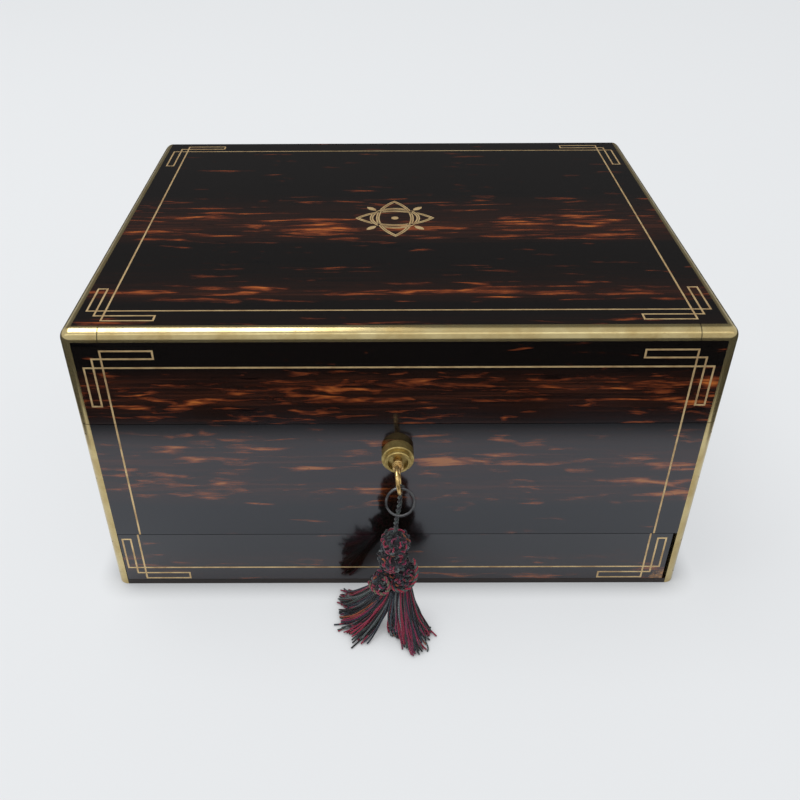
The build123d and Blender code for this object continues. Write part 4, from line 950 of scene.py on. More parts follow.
@dataclass(frozen=True)
class KnotEngraving:
    """The dark line cut along the middle of each strap of the lid's knot.

    The knot is an oval of half length long, one of half length wide, both of one half breadth, and a
    ring. Its straps are numbered so from 0 to 2.
    """

    long: float = 24.5
    wide: float = 22.0
    breadth: float = 10.5
    ring: float = 14.0
    strap: float = 2.0
    gap: float = 0.4
    top: float = 160.0
    steps: int = 170
    fine_steps: int = 6000
    cut_half: float = 0.17
    cut_flat: float = 0.35

    def circles(self) -> np.ndarray:
        """The circles of the middle lines: the upper, lower, left and right arc, and the ring.

        Returns:
            Centre X, centre Y and radius of each.
        """
        rows = []
        for length, across in ((self.wide, (0, 1)), (self.long, (1, 0))):
            radius = (length ** 2 + self.breadth ** 2) / (2 * self.breadth)
            off = radius - self.breadth
            rows += [(-s * off * across[0], -s * off * across[1], radius - self.strap / 2) for s in (1, -1)]
        return np.array([*rows, (0.0, 0.0, self.ring - self.strap / 2)])

    def lines(self) -> tuple[np.ndarray, np.ndarray]:
        """The middle lines: two arcs for each oval, and the ring.

        Returns:
            Points of every line, and the strap that each belongs to.
        """
        circles = self.circles()
        arcs = [self.arc(circles[number], circles[number ^ 1]) for number in range(4)]
        x, y, radius = circles[4]
        turn = np.linspace(0, TAU, 4 * self.steps, endpoint=False)
        ring = np.stack([x + radius * np.cos(turn), y + radius * np.sin(turn)], -1)
        owner = [np.full(len(line), strap) for line, strap in zip((*arcs, ring), (0, 0, 1, 1, 2))]
        return np.concatenate([*arcs, ring]), np.concatenate(owner)

    def arc(self, own: np.ndarray, other: np.ndarray) -> np.ndarray:
        """The part of one circle inside another, in even steps.

        A point is the circle's centre plus its radius times the angle's cosine and sine. The two arcs
        of an oval each end on the other's circle, so the oval ends in points.

        Args:
            own: centre and radius of the arc's circle.
            other: centre and radius of the circle it is inside.

        Returns:
            The arc's points.
        """
        turn = np.linspace(0, TAU, self.fine_steps, endpoint=False)
        ring = own[:2] + own[2] * np.stack([np.cos(turn), np.sin(turn)], -1)
        inside = np.linalg.norm(ring - other[:2], axis=1) < other[2]
        kept = ring[inside]
        return kept[:: max(1, len(kept) // self.steps)]

    def build(self) -> None:
        """Lays short bars along the lines, and leaves out those under another strap."""
        points, owner = self.lines()
        circles = self.circles()
        away = np.linalg.norm(points[:, None] - circles[None, :, :2], axis=2)
        off = np.abs(away - circles[None, :, 2])
        nearest = np.stack([off[:, :2].min(1), off[:, 2:4].min(1), off[:, 4]], 1)
        side = points[:, 0] * points[:, 1] > 0
        hidden = np.zeros(len(points), bool)
        reach = self.strap / 2 + self.gap
        for over, under in ((0, 1), (2, 0), (1, 2)):
            hidden |= (owner == under) & side & (nearest[:, over] < reach)
            hidden |= (owner == over) & ~side & (nearest[:, under] < reach)
        kept = points[~hidden]
        slot = owner[~hidden]
        step = np.linalg.norm(np.diff(kept, axis=0), axis=1)
        join = (step < 1.0) & (np.diff(slot) == 0)
        ends = np.stack([kept[:-1][join], kept[1:][join]], 1)
        height = np.full((*ends.shape[:2], 1), self.top)
        paths = np.concatenate([ends, height], 2)
        grids = tubes(paths, np.array(self.cut_half), 6, self.across(paths), self.cut_flat)
        # Dark brown to near-black flat bars laid along the middle of each strap, for the engraved line.
        dark_cut = RubbedMetal(
            "dark_graver_line", "#3a2c18", "#1d150b", patch=3.0, scratch=(1.0, 1.0, 1.0),
            smooth=0.5, rough=0.7,
        ).make()
        place(surface("knot_engraving", grids, (False, True)), dark_cut, "lid", "inlay_brass")

    def across(self, paths: np.ndarray) -> np.ndarray:
        """The level direction across each short bar."""
        along = unit(paths[:, 1] - paths[:, 0])
        return np.stack([-along[:, 1], along[:, 0], np.zeros(len(along))], -1)


@dataclass(frozen=True)
class LockAndHinges:
    """Lock, key, hinges, turn button and locking pin."""

    def build(self) -> None:
        """Dresses the turned, gilt, filed and blued metal."""
        turned_brass = RubbedMetal(
            "turned_brass", "#c4ad6e", "#927b44", patch=4.0, scratch=(0.4, 8.0, 0.4), smooth=0.28,
            rough=0.42, metal=0.75,
        ).make()
        key_metal = RubbedMetal(
            "gilt_key_metal", "#e8c684", "#a67c44", patch=2.5, scratch=(0.4, 3.0, 0.4), smooth=0.2,
            rough=0.36, metal=0.85,
        ).make()
        plate = RubbedMetal(
            "filed_brass_plate", "#c2a767", "#85703f", patch=9.0, scratch=(8.0, 0.4, 0.4),
            smooth=0.28, rough=0.42,
        ).make()
        steel = RubbedMetal(
            "blued_steel", "#8f9196", "#54565b", patch=3.0, scratch=(2.0, 0.3, 0.3), smooth=0.25,
            rough=0.4,
        ).make()
        dress(turned_brass, "lock_nozzle", "lock_plug", "drawer_pin", "mirror_catch")
        dress(key_metal, "key")
        dress(plate, "lock_case", "lock_bolt", "striker_plate", "case_hinge_leaves", "lid_hinge_leaves")
        dress(steel, "lock_sliders", "lock_spring", "hinge_pins")


@dataclass(frozen=True)
class MirrorPanel:
    """The drop mirror in the lid: half sizes of its frame, the frame's breadth, and the gold line's inset."""

    half_x: float = 142.2
    half_y: float = 112.7
    border: float = 22.0
    line_in: float = 15.0

    def build(self) -> None:
        """Dresses the leather frame and the silvered glass."""
        half = (self.half_x, self.half_y)
        leather = TooledMorocco("tooled_morocco_mirror", half, (0.0, 0.0), self.line_in).make()
        clear = (self.half_x - self.border, self.half_y - self.border)
        glass = SilveredGlass("silvered_plate_glass", clear).make()
        dress(leather, "mirror_frame")
        dress(glass, "mirror_glass")


@dataclass(frozen=True)
class Linings:
    """Velvet of the drawer, the well and the tray.

    The sizes named x, y and z say where the drawer's, the well's and the tray's linings lie: half
    breadths and inner faces. cloth is the padding's thickness, and fill how tightly it is stuffed.
    """

    drawer_x: float = 135.9
    drawer_y: tuple = (-113.3, 106.0)
    drawer_z: tuple = (7.0, 31.0)
    split: float = 45.3
    cloth: float = 1.2
    edge: float = 0.9
    fill: float = 0.9
    rolls: int = 16
    roll_bed: float = 0.17
    well_x: float = 142.5
    well_y: float = 113.0
    well_z: tuple = (41.0, 99.85)
    lock_half: float = 26.3
    lock_low: float = 72.55
    tray_x: float = 88.0
    tray_y: tuple = (-12.0, 98.5)
    tray_z: tuple = (64.85, 91.85)
    tools: int = 6
    bed: float = 3.4
    bed_half: float = 43.5
    bed_ease: float = 2.0
    rim_half: tuple = (91.0, 106.0)
    rim_middle: tuple = (0.0, -4.5)
    rim_line: float = 1.5

    def build(self) -> None:
        """Makes and dresses the three linings, and dresses the tray in leather."""
        velvet = SilkVelvet("silk_velvet", "#300b18", "#541a2b").make()
        made = [
            place(self.drawer(), velvet, "drawer", "velvet", "drawer_lining"),
            place(self.well(), velvet, "case", "velvet", "well_lining"),
            place(self.tray(), velvet, "case", "velvet", "tray_pad"),
        ]
        leather = TooledMorocco("tooled_morocco_tray", self.rim_half, self.rim_middle, self.rim_line).make()
        dress(leather, "centre_tray")

    def drawer(self) -> bpy.types.Object:
        """Wall pads and floor pads of three cells, and a bed of ring rolls in the middle one.

        Returns:
            The drawer's lining.
        """
        x, (front, back), (low, high), t = self.drawer_x, self.drawer_y, self.drawer_z, self.cloth
        split, cells = self.split, (60, 6)
        walls = [
            ("front_pad", (-x, front, low), (x, front + t, high), Facing.BACK),
            ("back_pad", (-x, back - t, low), (x, back, high), Facing.FRONT),
            ("left_pad", (-x, front, low), (t - x, back, high), Facing.RIGHT),
            ("right_pad", (x - t, front, low), (x, back, high), Facing.LEFT),
        ]
        made = [pad(name, start, end, way, self.edge, cells=cells) for name, start, end, way in walls]
        for side in (-1, 1):
            ridge = side * split
            right_low, right_high = (ridge, front, low), (ridge + t, back, high)
            made.append(pad("ridge_a", right_low, right_high, Facing.RIGHT, self.edge, cells=cells))
            left_low, left_high = (ridge - t, front, low), (ridge, back, high)
            made.append(pad("ridge_b", left_low, left_high, Facing.LEFT, self.edge, cells=cells))
            start, end = sorted((side * (split + t), side * (x - t)))
            floor_low, floor_high = (start, front + t, low), (end, back - t, low + t + 0.3)
            made.append(pad("floor_pad", floor_low, floor_high, Facing.UP, 3.0, cells=(20, 40)))
        inner = split - t
        pitch = (back - front - 2 * t) / self.rolls

        def rolled(_: np.ndarray, y: np.ndarray) -> np.ndarray:
            """Rolls side by side: a half round over each pitch, on a thin bed."""
            off = (np.mod(y - front - t, pitch) / pitch - 0.5) * 2
            return self.roll_bed + (1 - self.roll_bed) * np.sqrt(np.maximum(0.0, 1 - off ** 2))

        bed_low, bed_high = (-inner, front + t, low), (inner, back - t, low + t + pitch / 2)
        made.append(pad("ring_rolls", bed_low, bed_high, Facing.UP, 1.2, rolled, (12, 224)))
        return joined("drawer_velvet", made)

    def well(self) -> bpy.types.Object:
        """Wall pads of the well, open round the lock.

        Returns:
            The well's lining.
        """
        x, y, (low, high), t = self.well_x, self.well_y, self.well_z, self.cloth
        lock, under = self.lock_half, self.lock_low
        walls = [
            ("front_left", (-x, -y, low), (-lock, t - y, high), Facing.BACK, (20, 10)),
            ("front_right", (lock, -y, low), (x, t - y, high), Facing.BACK, (20, 10)),
            ("front_low", (-lock, -y, low), (lock, t - y, under), Facing.BACK, (10, 8)),
            ("back", (-x, y - t, low), (x, y, high), Facing.FRONT, (30, 10)),
            ("left", (-x, -y, low), (t - x, y, high), Facing.RIGHT, (30, 10)),
            ("right", (x - t, -y, low), (x, y, high), Facing.LEFT, (30, 10)),
        ]
        made = [pad(name, start, end, way, self.edge, cells=cells) for name, start, end, way, cells in walls]
        return joined("well_velvet", made)

    def tray(self) -> bpy.types.Object:
        """The tool pad: a bed sunk for each tool.

        Returns:
            The pad.
        """
        step = 2 * self.tray_x / self.tools
        places = -self.tray_x + step * (np.arange(self.tools) + 0.5)
        middle = sum(self.tray_y) / 2
        thick = self.tray_z[1] - self.tray_z[0]

        def sunk(x: np.ndarray, y: np.ndarray) -> np.ndarray:
            """One less the depth of the nearest round bed over the thickness, eased in at the bed's ends.

            Args:
                x: places over the pad's length.
                y: places over its breadth.

            Returns:
                The share of the thickness left there.
            """
            off = np.abs(x[..., None] - places).min(-1)
            deep = np.sqrt(np.maximum(0.0, self.bed ** 2 - off ** 2))
            ease = np.clip((self.bed_half - np.abs(y - middle)) / self.bed_ease, 0.0, 1.0)
            return 1 - deep * ease / thick

        low = (-self.tray_x, self.tray_y[0], self.tray_z[0])
        high = (self.tray_x, self.tray_y[1], self.tray_z[1])
        return pad("tool_pad", low, high, Facing.UP, 1.6, sunk, (240, 50))


def crisp(profile: list[tuple[float, float]], small: float = 0.25) -> np.ndarray:
    """A profile with its inner corners cut, and a second point beside each cut that keeps its flats flat.

    Args:
        profile: radius and height of each corner.
        small: how far from its corner a cut starts.

    Returns:
        The points of the new profile.
    """
    points = np.array(profile, float)
    inner, before, after = points[1:-1], points[:-2], points[2:]
    back, ahead = unit(before - inner), unit(after - inner)
    bent = np.stack(
        [inner + 2 * small * back, inner + small * back, inner + small * ahead, inner + 2 * small * ahead],
        1,
    )
    return np.concatenate([points[:1], bent.reshape(-1, 2), points[-1:]])


@dataclass(frozen=True)
class ToiletJars:
    """Eight cut-glass jars with silver lids, in the columns at both sides.

    column is the X of both columns, cell the step from row to row, and foot the well's floor.
    """

    column: float = 117.55
    cell: float = 55.9
    rows: int = 4
    foot: float = 41.0
    radius: float = 21.5
    height: float = 48.0
    neck: float = 17.5
    neck_height: float = 5.0
    wall: float = 3.0
    lid_height: float = 13.0
    jar_flutes: int = 24
    lid_flutes: int = 48

    def build(self) -> None:
        """Turns and flutes the jars and their lids."""
        row = np.arange(self.rows) - (self.rows - 1) / 2
        side, row = np.meshgrid([-1.0, 1.0], row, indexing="ij")
        places = np.stack([side * self.column, row * self.cell, np.full(side.shape, self.foot)], -1)
        places = places.reshape(-1, 3)
        glass = BlownGlass("cut_lead_glass").make()
        silver = RubbedMetal(
            "chased_silver", "#dcdad2", "#8f8b80", patch=5.0, scratch=(3.0, 3.0, 0.4), smooth=0.16,
            rough=0.34, dent=0.15,
        ).make()
        place(self.jars(places), glass, "case", "glass", "glass_jars")
        place(self.lids(places + [0, 0, self.height]), silver, "case", "silver", "silver_lids")

    def jars(self, places: np.ndarray) -> bpy.types.Object:
        """Thick jars, open in the neck, with flutes cut into the outer wall.

        Args:
            places: X, Y and Z of each jar's foot.

        Returns:
            The jars as one piece.
        """
        r, h, n, w = self.radius, self.height, self.neck, self.wall
        outline = [(0, 0), (r - 1.5, 0), (r, 1.5), (r, h - 2), (n, h), (n, h + self.neck_height)]
        outline += [(n - w, h + self.neck_height), (n - w, h), (r - w, h - 4), (r - w, 4.5), (0, 4.5)]
        profile = crisp(outline)
        cut = np.where((profile[:, 0] > r - 1) & (profile[:, 1] > 1) & (profile[:, 1] < h - 1), 0.05, 0.0)
        return surface("cut_glass_jars", turned(profile, 96, cut, self.jar_flutes, places), (False, True))

    def lids(self, places: np.ndarray) -> bpy.types.Object:
        """Slip-on lids: a beaded rim, a fluted wall, and a dome with a rosette in rings.

        Args:
            places: X, Y and Z of each lid's foot.

        Returns:
            The lids as one piece.
        """
        r, n, top = self.radius, self.neck + 0.2, self.lid_height
        outline = [(n, 0), (r, 0), (r, 1.6), (r - 0.5, 2.1), (r - 0.5, top - 2.5), (r - 1.5, top - 1.5)]
        outline += [(r * 0.72, top - 0.9), (r * 0.68, top - 1.2), (r * 0.6, top - 0.6), (r * 0.3, top - 0.3)]
        outline += [(r * 0.26, top - 0.6), (r * 0.2, top - 0.15), (0, top), (0, 6), (n, 6), (n, 0)]
        profile = crisp(outline, 0.12)
        wall = (profile[:, 0] > r - 1.2) & (profile[:, 1] > 2.2) & (profile[:, 1] < top - 2.6)
        rosette = (profile[:, 1] > top - 1.3) & (profile[:, 0] < r * 0.73) & (profile[:, 0] > 1)
        depth = np.where(wall, 0.03, np.where(rosette, 0.06, 0.0))
        shells = turned(profile, 144, depth, self.lid_flutes, places)
        return surface("chased_silver_lids", shells, (False, True))


@dataclass(frozen=True)
class ManicureTools:
    """Six steel tools with chased silver handles, in the tool pad.

    first and step place them along X, start is the Y of the handles' ends, and height their axis.
    """

    first: float = -73.33
    step: float = 29.333
    start: float = 1.25
    height: float = 91.85
    length: float = 84.0
    handle: float = 46.2
    radius: float = 3.2
    count: int = 6

    def build(self) -> None:
        """Makes handles and blades, which together stand for the CAD tools."""
        silver = RubbedMetal(
            "chased_silver_handles", "#dcdad2", "#8f8b80", patch=3.0, scratch=(0.6, 4.0, 0.6),
            smooth=0.18, rough=0.36, dent=0.2,
        ).make()
        steel = RubbedMetal(
            "polished_tool_steel", "#b9bcc0", "#7b7e83", patch=6.0, scratch=(0.3, 6.0, 0.3),
            smooth=0.16, rough=0.3, dent=0.05,
        ).make()
        along = self.first + self.step * np.arange(self.count)
        feet = np.stack([along, np.full(self.count, self.start), np.full(self.count, self.height)], -1)
        place(self.handles(feet), silver, "case", "silver", "manicure_tools")
        place(self.blades(feet), steel, "case", "steel", "manicure_tools")

    def handles(self, feet: np.ndarray) -> bpy.types.Object:
        """Round handles, spirally fluted: a swelling baluster with a bead at both ends.

        The radius is a constant plus a cosine of the way along, plus two bell curves for the beads,
        times one less a cosine of eight times the angle plus a turn that grows along the handle.

        Args:
            feet: X, Y and Z where each handle starts.

        Returns:
            The handles as one piece.
        """
        t = np.linspace(0, 1, 60)
        swell = 0.72 + 0.2 * np.cos(TAU * (t - 0.12))
        beads = 0.2 * np.exp(-((t - 0.06) / 0.03) ** 2) + 0.18 * np.exp(-((t - 0.94) / 0.025) ** 2)
        ends = np.minimum(1, np.minimum(np.sqrt(t / 0.03 + 1e-4), np.sqrt((1 - t) / 0.02 + 1e-4)))
        angle = np.linspace(0, TAU, 32, endpoint=False)
        flute = 1 - 0.05 * np.cos(8 * angle[None] + 14 * t[:, None])
        radius = self.radius * (np.minimum(swell + beads, 1.0) * ends)[:, None] * flute
        y = np.broadcast_to((t * self.handle)[:, None], radius.shape)
        ring = np.stack([radius * np.cos(angle), y, radius * np.sin(angle)], -1)
        # Known fault, kept as it is: the caps' mean is over the coordinates, not round the ring (axis 1),
        # so the blade's end of each handle runs out as a hair-thin point about 37 mm long.
        caps = [np.broadcast_to(end.mean(2, keepdims=True), end.shape) for end in (ring[:1], ring[-1:])]
        ring = np.concatenate([caps[0], ring, caps[1]])
        return surface("tool_handles", feet[:, None, None] + ring[None], (False, True))

    def blades(self, feet: np.ndarray) -> bpy.types.Object:
        """Blades of three kinds in turn: file, spade and point.

        A section is an ellipse. Its half width follows the kind's own curve along the blade, and its
        thickness thins evenly to the tip.

        Args:
            feet: X, Y and Z where each tool starts.

        Returns:
            The blades as one piece.
        """
        t = np.linspace(0, 1, 40)[None, :, None]
        number = np.arange(self.count)[:, None, None]
        kind = number % 3
        reach = self.length - 2 * kind
        wide = self.radius * (0.55 + 0.1 * kind)
        file = np.sqrt(np.clip((1 - t) / 0.12, 0, 1))
        belly = np.sin(math.pi * np.clip((t - 0.55) / 0.45, 0, 1)) ** 0.6
        spade = np.where(t < 0.55, 0.45, 0.45 + 0.55 * belly)
        spade = np.minimum(spade, np.sqrt(np.clip((1 - t) / 0.03, 0, 1)))
        point = np.clip(1 - t, 0, 1) ** 0.7
        shut = np.clip(t / 0.001, 0, 1)
        half = wide * np.where(kind == 0, file, np.where(kind == 1, spade, point)) * shut
        thick = 0.6 * (1 - 0.6 * t) * np.clip((1 - t) / 0.01, 0, 1)
        angle = np.linspace(0, TAU, 16, endpoint=False)[None, None]
        y = self.handle - 1 + t * (reach - self.handle + 1)
        rise = thick * np.sin(angle) * shut
        ring = np.stack(np.broadcast_arrays(half * np.cos(angle), y, rise), -1)
        return surface("tool_blades", feet[:, None, None] + ring, (False, True))


# ---- key ring, cord and tassel ----
def plied(path: np.ndarray, reference: tuple, off: float, pitch: float, count: int = 2) -> np.ndarray:
    """Strands twisted round a line.

    A point is the line plus the offset times (cosine of the turn times one direction across, plus its
    sine times the other), and the turn grows with the way along the line.

    Args:
        path: points of the line.
        reference: a direction never along the line.
        off: each strand's distance from the line.
        pitch: length of a full turn.
        count: how many strands.

    Returns:
        Points as an array of strand, step and coordinate.
    """
    side, other = frames(path[None], np.array([reference], float))
    run = np.concatenate([[0.0], np.cumsum(np.linalg.norm(np.diff(path, axis=0), axis=1))])
    turn = TAU * run[None] / pitch + TAU * np.arange(count)[:, None] / count
    return path[None] + off * (np.cos(turn)[..., None] * side + np.sin(turn)[..., None] * other)


def bent(controls: np.ndarray, steps: int) -> np.ndarray:
    """Bezier lines: each control point weighed by its Bernstein polynomial.

    Args:
        controls: control points, as an array of line, point and coordinate.
        steps: points along each line.

    Returns:
        Points as an array of line, step and coordinate.
    """
    degree = controls.shape[1] - 1
    t = np.linspace(0, 1, steps)[:, None]
    n = np.arange(degree + 1)[None]
    ways = np.array([math.comb(degree, k) for k in range(degree + 1)])[None]
    return np.einsum("sn,knc->ksc", ways * t ** n * (1 - t) ** (degree - n), controls)


def yarn(
    name: str,
    paths: np.ndarray,
    radius: float | np.ndarray,
    dyes: np.ndarray,
    sides: int,
    reference: np.ndarray,
) -> bpy.types.Object:
    """Spun strands along paths, each with its dye, and with the slant of its twist as an attribute.

    Args:
        name: the piece's name.
        paths: points, as an array of strand, step and coordinate.
        radius: the radius, or one for each strand and step.
        dyes: a linear colour for each strand.
        sides: points round each strand.
        reference: one direction for each strand, never along it.

    Returns:
        The strands as one piece.
    """
    grids = tubes(paths, np.asarray(radius), sides, reference)
    shape = grids.shape[:3]
    run = np.cumsum(np.linalg.norm(np.diff(paths, axis=1, prepend=paths[:, :1]), axis=2), axis=1)
    run = np.pad(run, ((0, 0), (1, 1)), mode="edge")
    way = TWIST * np.arange(sides) / sides
    slant = run[:, :, None] + way[None, None]
    colour = np.broadcast_to(dyes[:, None, None], (*shape, 4))
    return surface(name, grids, (False, True), {"dye": colour, "slant": slant})


class Dye(Enum):
    """The yarn's dyes, and their shares."""

    CRIMSON = ("#962341", 0.24)
    MAGENTA = ("#7f2148", 0.12)
    BLACK = ("#0d0c12", 0.27)
    SLATE = ("#222b38", 0.16)
    BOTTLE = ("#36423f", 0.14)
    RUST = ("#96502f", 0.05)
    PEWTER = ("#6a7072", 0.05)

    @classmethod
    def pick(cls, chance: np.random.Generator, count: int) -> np.ndarray:
        """Draws this many dyes by their shares, a little lighter or darker each.

                Args:
                    chance: the seeded numbers.
                    count: how many to draw.

                Returns:
                    A linear colour for each.
        """
        colours = np.array([linear(dye.value[0]) for dye in cls])
        shares = np.array([dye.value[1] for dye in cls])
        drawn = colours[chance.choice(len(colours), count, p=shares / shares.sum())]
        drawn[:, :3] *= chance.uniform(0.7, 1.3, (count, 1))
        return drawn


@dataclass(frozen=True)
class SplitRing:
    """A ring of two flat turns of wire, with a joggle where one crosses to the other.

    joggle_at is the joggle's angle, joggle_half its half length and end_gap what each end stops short
    of it, all in radians. layer is half the distance between the turns.
    """

    middle: tuple = (0.856, -147.913, 81.465)
    axis: tuple = (0.0, -0.883, 0.469)
    radius: float = 6.65
    layer: float = 0.36
    half_deep: float = 0.33
    half_wide: float = 0.55
    joggle_at: float = 3.7
    joggle_half: float = 0.16
    end_gap: float = 0.12
    steps: int = 260

    def build(self) -> None:
        """Carries a flattened round section along the two turns.

        The line's height along the axis is the layer times a steep tanh of the angle from the joggle.
        """
        reach = TAU - self.end_gap
        turn = np.linspace(self.joggle_at - reach, self.joggle_at + reach, self.steps)
        axis = np.array(self.axis)
        first = np.array([1.0, 0.0, 0.0])
        second = np.cross(axis, first)
        rise = self.layer * np.tanh((turn - self.joggle_at) / self.joggle_half)
        circle = np.cos(turn)[:, None] * first + np.sin(turn)[:, None] * second
        path = np.array(self.middle) + self.radius * circle + rise[:, None] * axis
        flat = self.half_wide / self.half_deep
        grids = tubes(path[None], np.array(self.half_deep), 16, axis[None], flat)
        steel = RubbedMetal(
            "tarnished_steel_wire", "#6f6f70", "#39383a", patch=2.0, scratch=(2.0, 2.0, 2.0),
            smooth=0.26, rough=0.45, dent=0.2,
        ).make()
        place(surface("split_ring_turns", grids, (False, True)), steel, "ring", "steel", "split_ring")


@dataclass(frozen=True)
class HangingCord:
    """Two twisted strands, looped round the bow of the key, that carry the tassel.

    A strand lies its own offset from the middle line, and turns once round it in the pitch. The eye's
    strands turn eye_twists times round its ring. across is a direction that the cord never follows.
    """

    route: tuple = (
        (0.851, -142.409, 82.244), (1.051, -142.509, 76.244), (-0.6, -143.4, 68.0),
        (-1.1, -143.9, 60.0), (-0.9, -144.0, 53.0), (-1.1, -144.0, 45.0),
    )
    across: tuple = (1.0, 0.3, 0.0)
    offset: float = 0.58
    strand: float = 0.62
    pitch: float = 5.2
    eye: tuple = (0.851, -142.409, 85.344)
    eye_radius: float = 1.75
    eye_axis: tuple = (0.0, 1.0, 0.0)
    eye_offset: float = 0.3
    eye_strand: float = 0.34
    eye_twists: int = 4
    length: float = 37.45
    diameter: float = 2.4
    dyes: tuple = ("#3b4442", "#2b2a2e")

    def build(self) -> bpy.types.Object:
        """Makes the eye and the cord.

        Returns:
            The cord's piece.
        """
        finish = SpunYarn("twisted_cotton_cord").make()
        tone = np.array([linear(colour) for colour in self.dyes])
        strands = plied(self.line(), self.across, self.offset, self.pitch)
        cord = yarn("twisted_cord", strands, self.strand, tone, 10, np.tile(self.across, (2, 1)))
        place(cord, finish, "tassel", "cord_yarn", "tassel_cord")
        turn = np.linspace(-math.pi / 2, 1.5 * math.pi, 120)
        circle = np.stack([np.cos(turn), np.zeros_like(turn), np.sin(turn)], -1)
        ring = np.array(self.eye) + self.eye_radius * circle
        loops = plied(ring, self.eye_axis, self.eye_offset, TAU * self.eye_radius / self.eye_twists)
        eye = yarn("cord_loop", loops, self.eye_strand, tone, 10, np.tile(self.eye_axis, (2, 1)))
        place(eye, finish, "eye", "cord_yarn", "cord_eye")
        return cord

    def line(self) -> np.ndarray:
        """The smooth line through the route's control points, read from a curve with no bevel.

        Returns:
            The line's points.
        """
        curve = bpy.data.curves.new("cord_line", "CURVE")
        curve.dimensions = "3D"
        curve.resolution_u = 24
        spline = curve.splines.new("NURBS")
        spline.points.add(len(self.route) - 1)
        spline.points.foreach_set("co", np.array([(*np.array(p) * MM, 1.0) for p in self.route]).ravel())
        spline.order_u = 3
        spline.use_endpoint_u = True
        obj = bpy.data.objects.new("cord_line", curve)
        bpy.context.collection.objects.link(obj)
        mesh = bpy.data.meshes.new_from_object(obj)
        points = np.zeros(len(mesh.vertices) * 3)
        mesh.vertices.foreach_get("co", points)
        bpy.data.objects.remove(obj)
        return points.reshape(-1, 3) / MM

    def declare(self, parts: list[bpy.types.Object]) -> None:
        """Reads the cord's line, in metres, and does nothing with it.

        Args:
            parts: not used.
        """
        path = (self.line() * MM).tolist()


